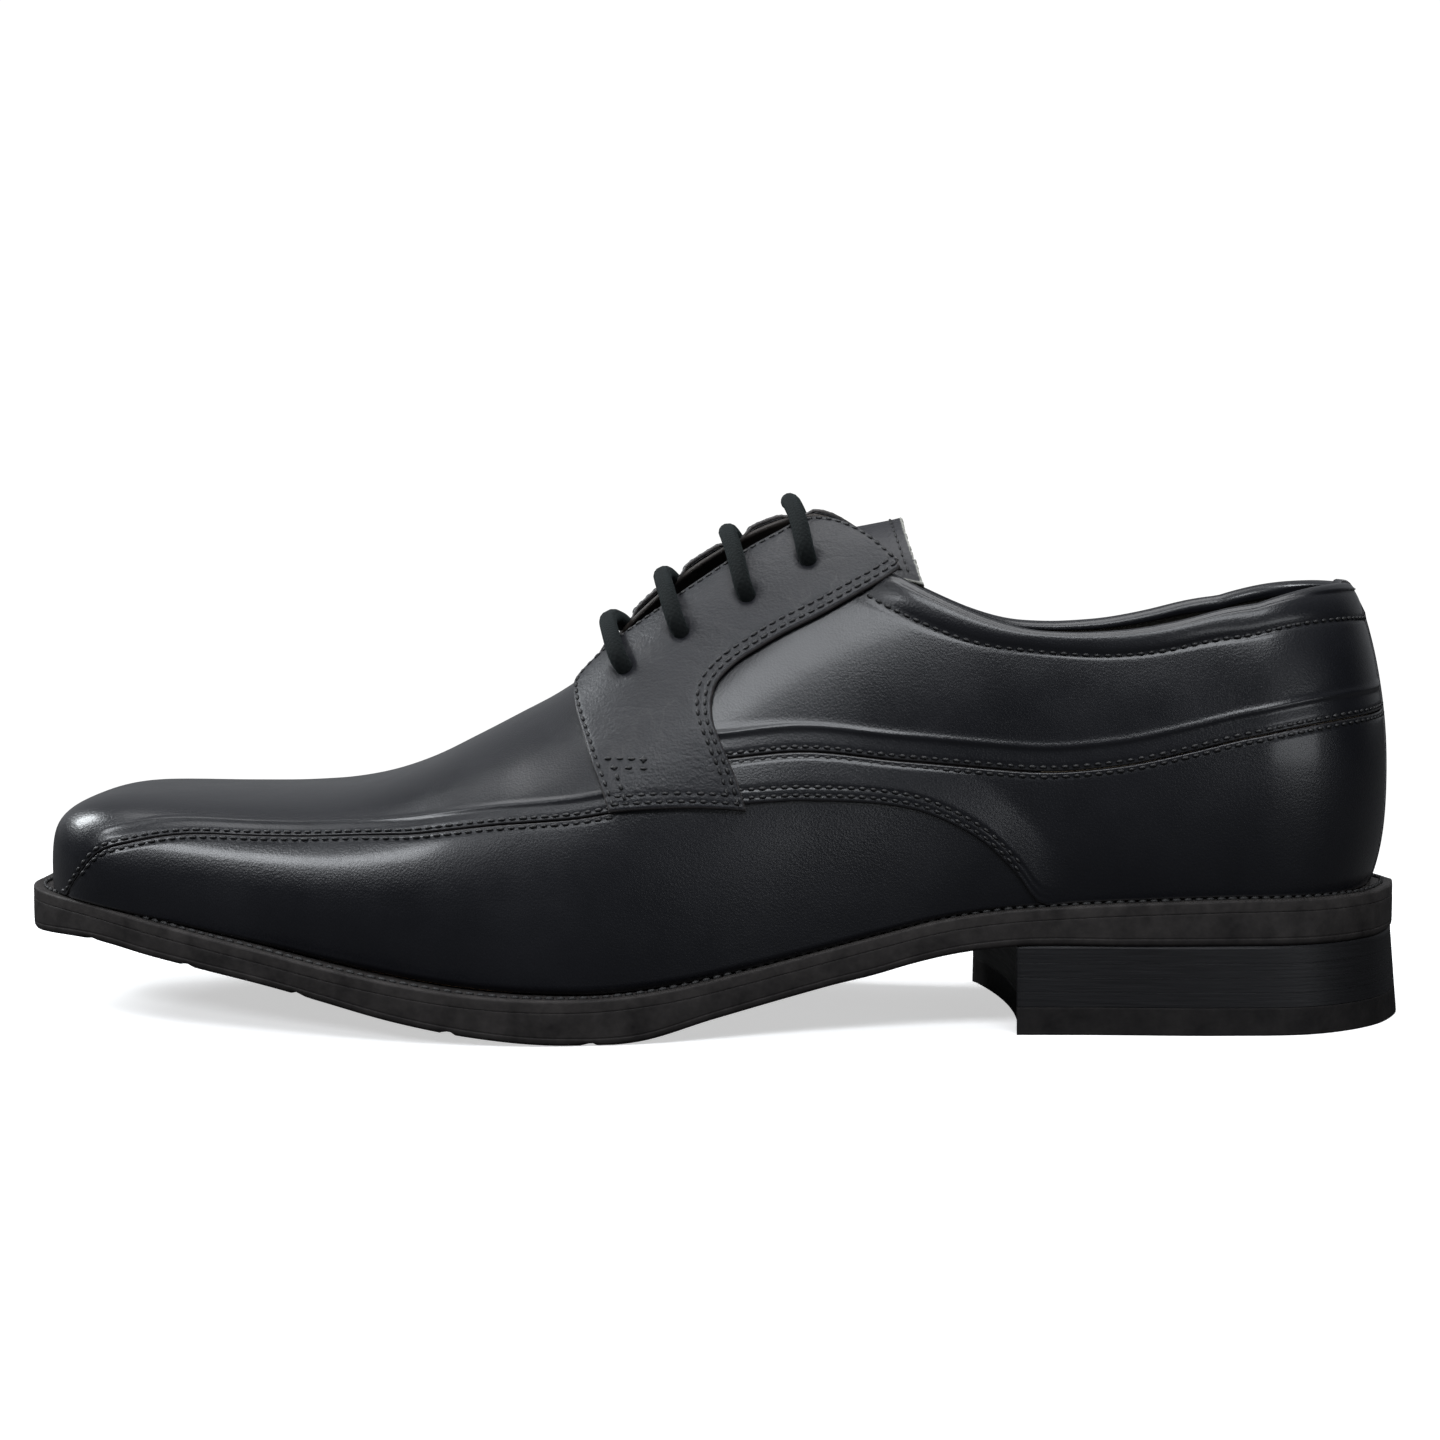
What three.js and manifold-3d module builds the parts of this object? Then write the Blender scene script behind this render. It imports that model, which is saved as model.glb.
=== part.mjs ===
// Men's left lace-up derby shoe, EU 43, in millimetres. Toe points to -X, outer side to -Y, +Z up.
import * as THREE from 'three';
import Module from 'manifold-3d';

const wasm = await Module();
wasm.setup();

// ---- sizes that drive the shoe
const toeTip = -150.5; // foremost point of the upper at the welt
const toeReach = 24; // length over which the toe rounds off
const toeStart = -171.5; // the same point as a distance along the shoe
const heelCentre = 117.5; // centre of the heel's round
const backSeam = heelCentre + (Math.PI / 2) * 31.4;
const leather = 1.3;
const gap = 0.4; // clearance between neighbouring pieces
const puffIn = -1.75; // stiffeners start this far under the outer face
const puffDeep = -2.4;
const liningIn = -2.9;
const liningDeep = -3.8;
const facingLow = 0.35;
const facingTop = 1.6;
const laceDiameter = 4;
const laceHole = 7.8;
const weltThick = 2.6;
const heelBreast = 66.3;
const settle = [0.05, 1.35]; // moves the whole shoe so that its box is centred

// ---- small numeric helpers
function smoothCurve(xs, ys) {
  const n = xs.length;
  const h = [];
  const d = [];
  for (let i = 0; i < n - 1; i += 1) {
    h.push(xs[i + 1] - xs[i]);
    d.push((ys[i + 1] - ys[i]) / h[i]);
  }
  const m = [d[0]];
  for (let i = 1; i < n - 1; i += 1) m.push((d[i - 1] * h[i] + d[i] * h[i - 1]) / (h[i - 1] + h[i]));
  m.push(d[n - 2]);
  return (at) => {
    const x = Math.min(Math.max(at, xs[0]), xs[n - 1]);
    let i = 0;
    while (i < n - 2 && x > xs[i + 1]) i += 1;
    const t = (x - xs[i]) / h[i];
    const s = 1 - t;
    return (1 + 2 * t) * s * s * ys[i] + t * s * s * h[i] * m[i]
      + t * t * (3 - 2 * t) * ys[i + 1] - t * t * s * h[i] * m[i + 1];
  };
}

function spline6(values, at) {
  const knots = [0, 0, 0, 0, 1, 2, 3, 3, 3, 3];
  const u = Math.min(Math.max(at, 0), 1) * 3 * (1 - 1e-9);
  let basis = [];
  for (let i = 0; i < 9; i += 1) basis.push(u >= knots[i] && u < knots[i + 1] ? 1 : 0);
  for (let p = 1; p < 4; p += 1) {
    const next = [];
    for (let i = 0; i < 9 - p; i += 1) {
      const a = knots[i + p] - knots[i];
      const b = knots[i + p + 1] - knots[i + 1];
      next.push((a ? ((u - knots[i]) / a) * basis[i] : 0) + (b ? ((knots[i + p + 1] - u) / b) * basis[i + 1] : 0));
    }
    basis = next;
  }
  return values.reduce((sum, v, i) => sum + v * basis[i], 0);
}

const mix = (a, b, t) => a + (b - a) * t;
const clamp = (v, lo, hi) => Math.min(Math.max(v, lo), hi);

// ---- the upper's outer face, from stations along the shoe
const stations = [-150, -125, -100, -75, -50, -25, 0, 25, 50, 75, 100, 117.5];
const crestY = smoothCurve(stations, [5, 5, 6, 7, 7.5, 7, 5.5, 4, 2, 0.5, 0, 0]);
const featherOut = smoothCurve(stations, [-28, -31, -36, -41.5, -45.5, -46.5, -43.5, -38.5, -34, -32, -32, -31.6]);
const featherIn = smoothCurve(stations, [33, 39, 44.5, 48, 47.5, 43.5, 37, 31, 28.5, 29.5, 31, 31.6]);
const weltTop = smoothCurve(
  [-156, -136, -122, -108, -94, -80, -66, -50, -36, -22, -8, 8, 21, 39, 50, 62, 78, 94, 110, 130, 156],
  [28, 26, 23.4, 20.8, 18.2, 15.4, 12.9, 10.8, 9.9, 9.9, 11.4, 14.6, 17.6, 22, 24.6, 26.4, 27.6, 28.4, 29, 29.3, 29.3],
);
const crestZ = smoothCurve(
  [-150, -125, -110, -95, -85, -75, -65, -55, -45, -35, -27, -20, 0, 20, 40, 60, 90, 117.5],
  [49, 49.2, 49, 49.2, 50, 52, 55.5, 60.4, 65.6, 71, 76.6, 83, 99.6, 111.8, 116, 119, 122, 124],
);
const ribX = [-150, -110, -60, -20, 20, 60, 100, 117.5];
const ribOut = [
  [1, 1, 1, 1, 1, 1, 1, 1],
  [1.05, 1.05, 1.05, 1.05, 1.07, 1.09, 1.1, 1.09],
  [0.99, 0.985, 1, 1, 0.97, 1.08, 1.17, 1.19],
  [0.74, 0.74, 0.74, 0.7, 0.68, 0.98, 1.1, 1.11],
  [0.35, 0.35, 0.36, 0.3, 0.28, 0.5, 0.84, 0.9],
  [0, 0, 0, 0, 0, 0, 0, 0],
].map((row) => smoothCurve(ribX, row));
const ribUp = [
  [0, 0, 0, 0, 0, 0, 0, 0],
  [0.36, 0.34, 0.3, 0.26, 0.22, 0.14, 0.09, 0.08],
  [0.8, 0.78, 0.7, 0.58, 0.5, 0.38, 0.28, 0.26],
  [0.985, 0.97, 0.93, 0.84, 0.82, 0.7, 0.52, 0.48],
  [1, 1, 1, 1, 1, 0.95, 0.78, 0.72],
  [1, 1, 1, 1, 1, 1, 1, 1],
].map((row) => smoothCurve(ribX, row));
const backOut = [29.8, 32.6, 33.4, 32.2, 26.6, 14];
const backUp = [0, 7, 24, 44, 66, 95];

const toeRound = (x, reach, power) => {
  const t = clamp((x - toeTip) / reach, 0, 1);
  return (1 - (1 - t) ** power) ** (1 / power);
};
const toeEnd = toeTip + toeReach;
const alongToX = (along) => (along >= toeEnd ? along
  : toeTip + toeReach * clamp((along - toeStart) / (toeEnd - toeStart), 0, 1) ** 2.4);

// along runs from toe to back seam, round is -1 at the outer feather, 0 on the crest, 1 at the inner feather
function upperPoint(along, round) {
  const x = Math.min(alongToX(along), heelCentre);
  const turn = clamp((along - heelCentre) / 31.4, 0, Math.PI / 2);
  const t = 1 - Math.abs(round);
  const side = round < 0 ? -1 : 1;
  const half = (round < 0 ? crestY(x) - featherOut(x) : featherIn(x) - crestY(x)) * toeRound(x, toeReach, 2.4);
  const base = weltTop(x) + gap;
  const rise = (crestZ(x) - base) * toeRound(x, 26, 3.3);
  const back = Math.sin(turn) ** 2;
  const out = ribOut.map((rib, i) => mix(rib(x) * half, backOut[i], back));
  const up = ribUp.map((rib, i) => mix(rib(x) * rise, backUp[i], back));
  const r = spline6(out, t);
  return new THREE.Vector3(x + r * Math.sin(turn), crestY(x) + side * r * Math.cos(turn), base + spline6(up, t));
}

function upperNormal(along, round) {
  if (along < toeStart + 0.6) return new THREE.Vector3(-1, 0, 0.1).normalize();
  const e = 0.25;
  const f = 0.004;
  const a1 = Math.min(along + e, backSeam);
  const lo = round < 0 ? Math.max(round - f, -1) : round - f;
  const hi = round > 0 ? Math.min(round + f, 1) : round + f;
  const da = upperPoint(a1, round).sub(upperPoint(along - e, round));
  const dr = upperPoint(along, hi).sub(upperPoint(along, lo));
  return dr.cross(da).normalize().negate();
}

function offUpper(along, round, off) {
  return upperPoint(along, round).addScaledVector(upperNormal(along, round), off);
}

// how far round the outer side this height lies
function roundAt(along, z) {
  let lo = -1;
  let hi = -0.001;
  for (let i = 0; i < 26; i += 1) {
    const mid = (lo + hi) / 2;
    if (upperPoint(along, mid).z < z) lo = mid;
    else hi = mid;
  }
  return (lo + hi) / 2;
}

// how much the laces and tongue hold the facings off the foot
const liftAlong = smoothCurve([-30, -22, -8, 8, 24, 34], [3, 3.4, 3, 1.8, 0.4, 0]);
// the inner facing stands a little higher
const innerLift = smoothCurve([-30, -22, -8, 8, 24, 36], [0, 0.6, 2.1, 2, 1.4, 0.3]);
const easeUp = (t) => t * t * (3 - 2 * t);
const lift = (along, round) => {
  const sides = liftAlong(along) * easeUp(clamp((0.46 - Math.abs(round)) / 0.28, 0, 1));
  const inner = easeUp(clamp(round / 0.06, 0, 1)) * easeUp(clamp((0.28 - round) / 0.14, 0, 1));
  return sides + innerLift(along) * inner;
};

// the place on the upper's outer side that has this x and this height
function placeAt(x, z) {
  let lo = toeStart;
  let hi = backSeam;
  for (let i = 0; i < 26; i += 1) {
    const mid = (lo + hi) / 2;
    if (upperPoint(mid, roundAt(mid, z)).x < x) lo = mid;
    else hi = mid;
  }
  const along = (lo + hi) / 2;
  const round = roundAt(along, z);
  return [along, round < -0.998 ? -1 : round];
}

// a smooth line through places, cut into equal steps
class Seam {
  constructor(places) {
    this.line = new THREE.CatmullRomCurve3(
      places.map(([a, r]) => new THREE.Vector3(a, r * 100, 0)), false, 'centripetal');
  }

  at(t) {
    const p = this.line.getPointAt(clamp(t, 0, 1));
    return [p.x, clamp(p.y / 100, -1, 1)];
  }
}
const seam = (...places) => new Seam(places);
const seamXZ = (...places) => new Seam(places.map(([x, z]) => placeAt(x, z)));

// a four-sided patch between a low and a high line and a front and a back line
function patch(low, high, front, back) {
  return (u, v) => {
    const L = low.at(u);
    const H = high.at(u);
    if (!front) return [mix(L[0], H[0], v), mix(L[1], H[1], v)];
    const F = front.at(v);
    const B = back.at(v);
    const c = [low.at(0), low.at(1), high.at(0), high.at(1)];
    return [0, 1].map((k) => mix(L[k], H[k], v) + mix(F[k], B[k], u)
      - mix(mix(c[0][k], c[1][k], u), mix(c[2][k], c[3][k], u), v));
  };
}

// ---- meshes
function meshOf(points, faces) {
  const keys = new Map();
  const flat = [];
  const ids = points.map((p) => {
    const key = [p.x, p.y, p.z].map((v) => Math.round(v * 500)).join();
    if (!keys.has(key)) {
      keys.set(key, flat.length / 3);
      flat.push(p.x, p.y, p.z);
    }
    return keys.get(key);
  });
  const index = [];
  for (const face of faces) {
    const t = face.map((i) => ids[i]);
    if (t[0] !== t[1] && t[1] !== t[2] && t[0] !== t[2]) index.push(...t);
  }
  const geometry = new THREE.BufferGeometry();
  geometry.setAttribute('position', new THREE.Float32BufferAttribute(flat, 3));
  geometry.setIndex(index);
  return geometry;
}

function volumeOf(geometry) {
  const p = geometry.getAttribute('position');
  const index = geometry.getIndex().array;
  let sum = 0;
  const v = [new THREE.Vector3(), new THREE.Vector3(), new THREE.Vector3()];
  for (let i = 0; i < index.length; i += 3) {
    v.forEach((one, k) => one.fromBufferAttribute(p, index[i + k]));
    sum += v[0].dot(v[1].clone().cross(v[2])) / 6;
  }
  return sum;
}

function facingOut(geometry) {
  if (volumeOf(geometry) > 0) return geometry;
  const index = geometry.getIndex().array;
  for (let i = 0; i < index.length; i += 3) [index[i + 1], index[i + 2]] = [index[i + 2], index[i + 1]];
  return geometry;
}

// two sheets of nu by nv cells joined round their edges, top(u, v) and under(u, v)
function thick(top, under, nu, nv) {
  const points = [];
  const faces = [];
  const at = (s, i, j) => (s * (nu + 1) + i) * (nv + 1) + j;
  for (const sheet of [top, under]) {
    for (let i = 0; i <= nu; i += 1) {
      for (let j = 0; j <= nv; j += 1) points.push(sheet(i / nu, j / nv));
    }
  }
  const quad = (a, b, c, d) => faces.push([a, b, c], [a, c, d]);
  for (let i = 0; i < nu; i += 1) {
    for (let j = 0; j < nv; j += 1) {
      quad(at(0, i, j), at(0, i + 1, j), at(0, i + 1, j + 1), at(0, i, j + 1));
      quad(at(1, i, j), at(1, i, j + 1), at(1, i + 1, j + 1), at(1, i + 1, j));
    }
    quad(at(0, i, 0), at(1, i, 0), at(1, i + 1, 0), at(0, i + 1, 0));
    quad(at(0, i + 1, nv), at(1, i + 1, nv), at(1, i, nv), at(0, i, nv));
  }
  for (let j = 0; j < nv; j += 1) {
    quad(at(0, 0, j + 1), at(1, 0, j + 1), at(1, 0, j), at(0, 0, j));
    quad(at(0, nu, j), at(1, nu, j), at(1, nu, j + 1), at(0, nu, j + 1));
  }
  return facingOut(meshOf(points, faces));
}

const other = (place, side) => (u, v) => {
  const [a, r] = place(u, v);
  return [a, side > 0 ? -r : r];
};

function skin(place, nu, nv, inner, outer) {
  const depth = (d, at) => (typeof d === 'function' ? d(...at) : d);
  const sheet = (d) => (u, v) => {
    const at = place(u, v);
    return offUpper(...at, depth(d, at));
  };
  return thick(sheet(outer), sheet(inner), nu, nv);
}

function toSolid(geometry) {
  const mesh = new wasm.Mesh({
    numProp: 3,
    vertProperties: new Float32Array(geometry.getAttribute('position').array),
    triVerts: new Uint32Array(geometry.getIndex().array),
  });
  mesh.merge();
  return new wasm.Manifold(mesh);
}

function fromSolid(solid) {
  const mesh = solid.getMesh();
  const points = [];
  for (let i = 0; i < mesh.numVert; i += 1) {
    points.push(new THREE.Vector3(...mesh.vertProperties.slice(i * mesh.numProp, i * mesh.numProp + 3)));
  }
  const faces = [];
  for (let i = 0; i < mesh.numTri; i += 1) faces.push([...mesh.triVerts.slice(i * 3, i * 3 + 3)]);
  return meshOf(points, faces);
}

// ---- lines of the pattern, on the outer side; the inner side mirrors them
const frontSeam = [[-138.3, 32.8], [-133.4, 37.8], [-128, 39.8], [-113.8, 42.2], [-98.3, 42.2], [-78, 42.8],
  [-59.3, 44], [-35.5, 46.6], [-20.6, 48.5]];
const sideSeam = [[-5, 49.6], [9, 50.2], [22.8, 50.6], [38.9, 49.5], [47, 47.7], [58.6, 41.8], [66.3, 34.4], [69.8, 27]];
const stripSeam = [[-5, 59.4], [5.7, 59.9], [31.2, 60.2], [55, 57.8], [71.9, 56.6], [87.5, 57.9], [103, 61.2],
  [118.7, 64.8], [135, 67.5]];
const topLine = [[37, 100.5], [48.6, 94.6], [60.5, 89.4], [68.5, 87.2], [77.2, 86.5], [88.3, 87], [100.2, 89],
  [112, 91.9], [124.8, 94.9], [137, 96.9]];
const eyelets = [[-16.8, 75.8], [-5, 84], [8.8, 92.4], [21.7, 100.5]];
const facingBack = [[8.4, 48.6], [6.2, 55.5], [3.5, 61.7], [1.4, 67], [1.1, 71.4], [2.2, 75], [5.8, 78.8],
  [12, 82.8], [23, 88.6], [33.5, 94.4], [41.5, 99.2]];
const facingFront = [[-20.4, 48.4], [-25, 60], [-28, 69]];
const outerTopEdge = [
  [-27.2, -0.2], [-21, -0.18], [-5.5, -0.18], [8, -0.161], [14.8, -0.148], [22, -0.125], [31.5, -0.17]];
const innerTopEdge = [[-27.2, -0.2], [-21, -0.13], [-8.2, -0.11], [4.8, -0.1], [15, -0.1], [24, -0.115], [31.5, -0.17]];
const facingTip = [[40.5, 101.6]];
const innerEdge = [[-5.2, 60.2], [-5.5, 68], [-4.5, 75], [-1, 80.5], [8, 85.8], [20, 91.8], [30, 97.2], [36.5, 100.6]];

const seamPlaces = {};
const placesOf = (name, list) => {
  seamPlaces[name] ??= list.map(([x, z]) => placeAt(x, z));
  return seamPlaces[name];
};
const backTop = roundAt(backSeam, 96.9);
const backStrip = roundAt(backSeam, 69);

// ---- finishes
const finish = (colour, roughness, metalness = 0) => new THREE.MeshStandardMaterial({ color: colour, roughness, metalness });
const finishes = {
  calf: finish(0x111216, 0.35),
  facing: finish(0x1b1c20, 0.5),
  lining: finish(0x2b2421, 0.7),
  suede: finish(0x2a2725, 0.9),
  stiffener: finish(0xb9a88a, 0.8),
  foam: finish(0x8e8e88, 0.95),
  board: finish(0x9a7b55, 0.85),
  cork: finish(0x6b4d31, 0.9),
  steel: finish(0x9aa0a4, 0.35, 1),
  sole: finish(0x17181a, 0.45),
  welt: finish(0x141518, 0.4),
  stack: finish(0x18171a, 0.4),
  rubber: finish(0x121314, 0.7),
  lace: finish(0x10181a, 0.9),
  tip: finish(0x0c0d0e, 0.3),
};

const shoe = new THREE.Group();
shoe.name = 'derby_shoe';
function add(name, geometry, material) {
  const mesh = new THREE.Mesh(geometry.toNonIndexed(), finishes[material]);
  mesh.name = name;
  mesh.geometry.computeVertexNormals();
  shoe.add(mesh);
}

// ---- sole outline
const outlineOut = [[-155, 4], [-154.6, -6], [-151, -15], [-142, -24], [-125, -33], [-100, -42], [-70, -50], [-40, -53],
  [-10, -49], [20, -41], [50, -36], [80, -34.6], [110, -34.6], [130, -32], [144, -22], [151.4, -9], [153.6, 0]];
const outlineIn = [[-155, 4], [-154.6, 14], [-149, 25], [-136, 33.5], [-112, 43], [-86, 49], [-60, 50], [-36, 45],
  [-10, 36], [20, 29], [50, 27.6], [80, 30], [110, 33], [130, 31], [144, 22], [151.4, 9], [153.6, 0]];
const sideLine = (list) => new THREE.CatmullRomCurve3(
  list.map(([x, y]) => new THREE.Vector3(x, y, 0)), false, 'centripetal');
const outerLine = sideLine(outlineOut);
const innerLine = sideLine(outlineIn);

// the point on the sole's edge, moved inwards by inset; side -1 outer, 1 inner
function edgePoint(u, side, inset) {
  const line = side < 0 ? outerLine : innerLine;
  const p = line.getPointAt(u);
  const t = line.getTangentAt(u);
  if (u === 0) t.set(0, side, 0);
  if (u === 1) t.set(0, -side, 0);
  return new THREE.Vector2(p.x + side * t.y * inset, p.y - side * t.x * inset);
}

function edgeU(side, x) {
  let lo = 0;
  let hi = 1;
  for (let i = 0; i < 30; i += 1) {
    const mid = (lo + hi) / 2;
    if ((side < 0 ? outerLine : innerLine).getPointAt(mid).x < x) lo = mid;
    else hi = mid;
  }
  return (lo + hi) / 2;
}

const soleUnder = smoothCurve(
  [-156, -135, -121, -111, -89, -81, -66, -48, -30, -14, 1, 9, 19, 27, 36, 44, 53, 64, 90, 156],
  [18, 18, 15.5, 13.8, 9.8, 8, 4.5, 1.5, 0, 0.5, 4.5, 6.5, 9, 11, 13, 15.2, 17.2, 18.6, 18.9, 19.3],
);

function slab(inset, fromX, toX, topZ, underZ, nu, nv) {
  const span = (side, u) => {
    const a = fromX === null ? 0 : edgeU(side, fromX);
    const b = toX === null ? 1 : edgeU(side, toX);
    return edgePoint(mix(a, b, u), side, inset);
  };
  const sheet = (height) => (u, v) => {
    const L = span(-1, u);
    const M = span(1, u);
    const x = mix(L.x, M.x, v);
    return new THREE.Vector3(x, mix(L.y, M.y, v), height(x));
  };
  return thick(sheet(topZ), sheet(underZ), nu, nv);
}

function weltRing() {
  const n = 72;
  const ring = (inset, drop) => (i) => {
    const t = (i % n) / n;
    const p = t < 0.5 ? edgePoint(t * 2, -1, inset) : edgePoint(2 - t * 2, 1, inset);
    return new THREE.Vector3(p.x, p.y, weltTop(p.x) - drop);
  };
  const rings = [ring(0, 0), ring(0, weltThick), ring(9, weltThick), ring(9, 0)];
  const points = [];
  const faces = [];
  rings.forEach((one) => {
    for (let i = 0; i < n; i += 1) points.push(one(i));
  });
  for (let k = 0; k < 4; k += 1) {
    for (let i = 0; i < n; i += 1) {
      const j = (i + 1) % n;
      const a = k * n;
      const b = ((k + 1) % 4) * n;
      faces.push([a + i, b + i, b + j], [a + i, b + j, a + j]);
    }
  }
  return facingOut(meshOf(points, faces));
}

function addBottom() {
  const belowWelt = (drop) => (x) => weltTop(x) - drop;
  add('welt', weltRing(), 'welt');
  add('outsole', slab(0.2, null, null, belowWelt(weltThick + gap), (x) => Math.max(soleUnder(x), 0), 40, 2), 'sole');
  add('insole', slab(9.5, null, null, belowWelt(0), belowWelt(1.4), 24, 2), 'board');
  add('bottom_filler', slab(9.5, null, 2, belowWelt(1.8), belowWelt(2.6), 14, 2), 'cork');
  add('heel_seat_filler', slab(9.5, 104, null, belowWelt(1.8), belowWelt(2.6), 6, 2), 'cork');
  add('sock_liner', slab(12, null, null, belowWelt(-1.4), belowWelt(-0.4), 24, 2), 'lining');
  add('shank', shankBar(belowWelt), 'steel');
  const lift = 2.7;
  const rubber = 6;
  for (let i = 0; i < 4; i += 1) {
    const low = rubber + 0.35 + i * (lift + 0.35);
    add(`heel_lift_${4 - i}`, heelSlice(low, low + lift), 'stack');
  }
  add('heel_top_piece', heelSlice(0, rubber), 'rubber');
}

function shankBar(belowWelt) {
  const half = 7;
  const sheet = (height) => (u, v) => {
    const x = mix(4, 102, u);
    return new THREE.Vector3(x, mix(-half, half, v) - 2 + 2 * u, height(x));
  };
  return thick(sheet(belowWelt(1.8)), sheet(belowWelt(2.6)), 16, 1);
}

// a slice of the heel, a little wider towards the floor, with a hollowed front face
function heelSlice(lowZ, highZ) {
  const at = (z) => (u, v) => {
    const flare = 0.35 - (1 - z / 19) * 1.65;
    const uL = edgeU(-1, heelBreast);
    const uM = edgeU(1, heelBreast - 5.3);
    const L = edgePoint(mix(uL, 1, u), -1, flare);
    const M = edgePoint(mix(uM, 1, u), 1, flare);
    const hollow = (1 - u) ** 3 * 4 * v * (1 - v) * 3.5;
    return new THREE.Vector3(mix(L.x, M.x, v) + hollow, mix(L.y, M.y, v), z);
  };
  return thick(at(highZ), at(lowZ), 14, 2);
}

// ---- upper
function addVamp() {
  const front = placesOf('front', frontSeam);
  const upper = seam(...front, ...placesOf('side', sideSeam));
  const high = sortedByAlong(upper);
  const firstAlong = front[0][0];
  const rear = (round) => mix(-26, -15.5, clamp(Math.abs(round) / 0.62, 0, 1) ** 1.5);
  const apron = (u, v) => {
    const c = 2 * v - 1;
    const along = mix(toeStart, rear(c * 0.62), u);
    if (along <= firstAlong - 4) return [along, c];
    return [along, c * (Math.min(-high(along + 2), 1) - 0.007)];
  };
  add('vamp_apron', skin(apron, 24, 14, -leather, 0), 'calf');
  for (const [name, side] of [['lateral', -1], ['medial', 1]]) {
    const span = (u) => mix(firstAlong + 3, placesOf('side', sideSeam).at(-1)[0] - 1, u);
    const place = (u, v) => {
      const along = span(u);
      return [along, mix(-1, Math.max(high(along - 0.4) - 0.004, -0.9995), v)];
    };
    add(`vamp_side_${name}`, skin(other(place, side), 22, 3, -leather, 0), 'calf');
  }
}

function sortedByAlong(line) {
  const a = [];
  const r = [];
  for (let i = 0; i <= 60; i += 1) {
    const p = line.at(i / 60);
    if (!a.length || p[0] > a.at(-1) + 0.3) {
      a.push(p[0]);
      r.push(p[1]);
    }
  }
  return smoothCurve(a, r);
}

function addQuarters() {
  const side = placesOf('side', sideSeam);
  const strip = placesOf('strip', stripSeam);
  const top = placesOf('top', topLine);
  const inner = placesOf('inner', innerEdge);
  const last = backSeam - 0.3;
  const lift = (places, by) => places.map(([a, r]) => [a, r + by]);
  const lowerEdge = seam(...lift(side.slice(0, -1), 0.006), [side.at(-1)[0] + 2.4, -1], [95, -1], [130, -1], [last, -1]);
  const stripLow = seam(...lift(strip, -0.003), [last, backStrip - 0.003]);
  const stripHigh = seam(...lift(strip, 0.003), [last, backStrip + 0.003]);
  const topEdge = seam(...top, [last, backTop]);
  const lower = patch(lowerEdge, stripLow,
    seam(lowerEdge.at(0), stripLow.at(0)), seam([last, -1], stripLow.at(1)));
  const upper = patch(stripHigh, topEdge,
    seam(stripHigh.at(0), ...inner.slice(1, -1), top[0]), seam(stripHigh.at(1), [last, backTop]));
  for (const [name, s] of [['lateral', -1], ['medial', 1]]) {
    add(`quarter_lower_${name}`, skin(other(lower, s), 26, 3, -leather, 0), 'calf');
    add(`quarter_upper_${name}`, skin(other(upper, s), 28, 5, -leather, 0), 'calf');
  }
}

function laceHoles() {
  return placesOf('eyelets', eyelets).map(([a, r]) => ({ a, r }));
}

function drilled(geometry, side) {
  let solid = toSolid(geometry);
  for (const { a, r } of laceHoles()) {
    const at = upperPoint(a, r * -side);
    const n = upperNormal(a, r * -side);
    const drill = new THREE.CylinderGeometry(laceHole / 2, laceHole / 2, 12, 16);
    drill.applyQuaternion(new THREE.Quaternion().setFromUnitVectors(new THREE.Vector3(0, 1, 0), n));
    drill.translate(at.x, at.y, at.z);
    solid = solid.subtract(toSolid(meshOf(pointsOf(drill), facesOf(drill))));
  }
  return fromSolid(solid);
}

function pointsOf(geometry) {
  const p = geometry.getAttribute('position');
  return Array.from({ length: p.count }, (_, i) => new THREE.Vector3().fromBufferAttribute(p, i));
}

function facesOf(geometry) {
  const index = geometry.getIndex().array;
  return Array.from({ length: index.length / 3 }, (_, i) => [index[i * 3], index[i * 3 + 1], index[i * 3 + 2]]);
}

const raised = (off) => (along, round) => off + lift(along, round);

function addFacings() {
  const back = seam(...placesOf('facingBack', facingBack));
  const inner = placesOf('inner', innerEdge);
  const foot = placesOf('facingFront', facingFront);
  for (const [name, side, topEdge] of [['lateral', -1, outerTopEdge], ['medial', 1, innerTopEdge]]) {
    const place = patch(back, seam(...foot, ...topEdge, ...placesOf('tip', facingTip)));
    const tucked = topEdge.slice(1, -1).map(([a, r]) => [a, r - 0.004]);
    const under = patch(
      seam(...inner.map(([a, r]) => [a - 0.6, r + 0.006])),
      seam([foot[0][0] + 5.5, inner[0][1]], [-20.5, -0.31], ...tucked, [33, -0.2]));
    add(`facing_${name}`, drilled(skin(other(place, side), 20, 5, raised(facingLow), raised(facingTop)), side), 'facing');
    add(`facing_lining_${name}`, drilled(skin(other(under, side), 20, 4, raised(-1), raised(-0.3)), side), 'lining');
  }
}

function addBackstay() {
  const place = (u, v) => {
    const c = 2 * v - 1;
    const reach = mix(7.5, 6, u);
    const round = mix(0.985, -backTop, u);
    const along = backSeam - Math.abs(c) * reach;
    return [along, c < 0 ? -round : round];
  };
  add('backstay', skin(place, 8, 4, facingLow, 1.2), 'calf');
}

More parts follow.
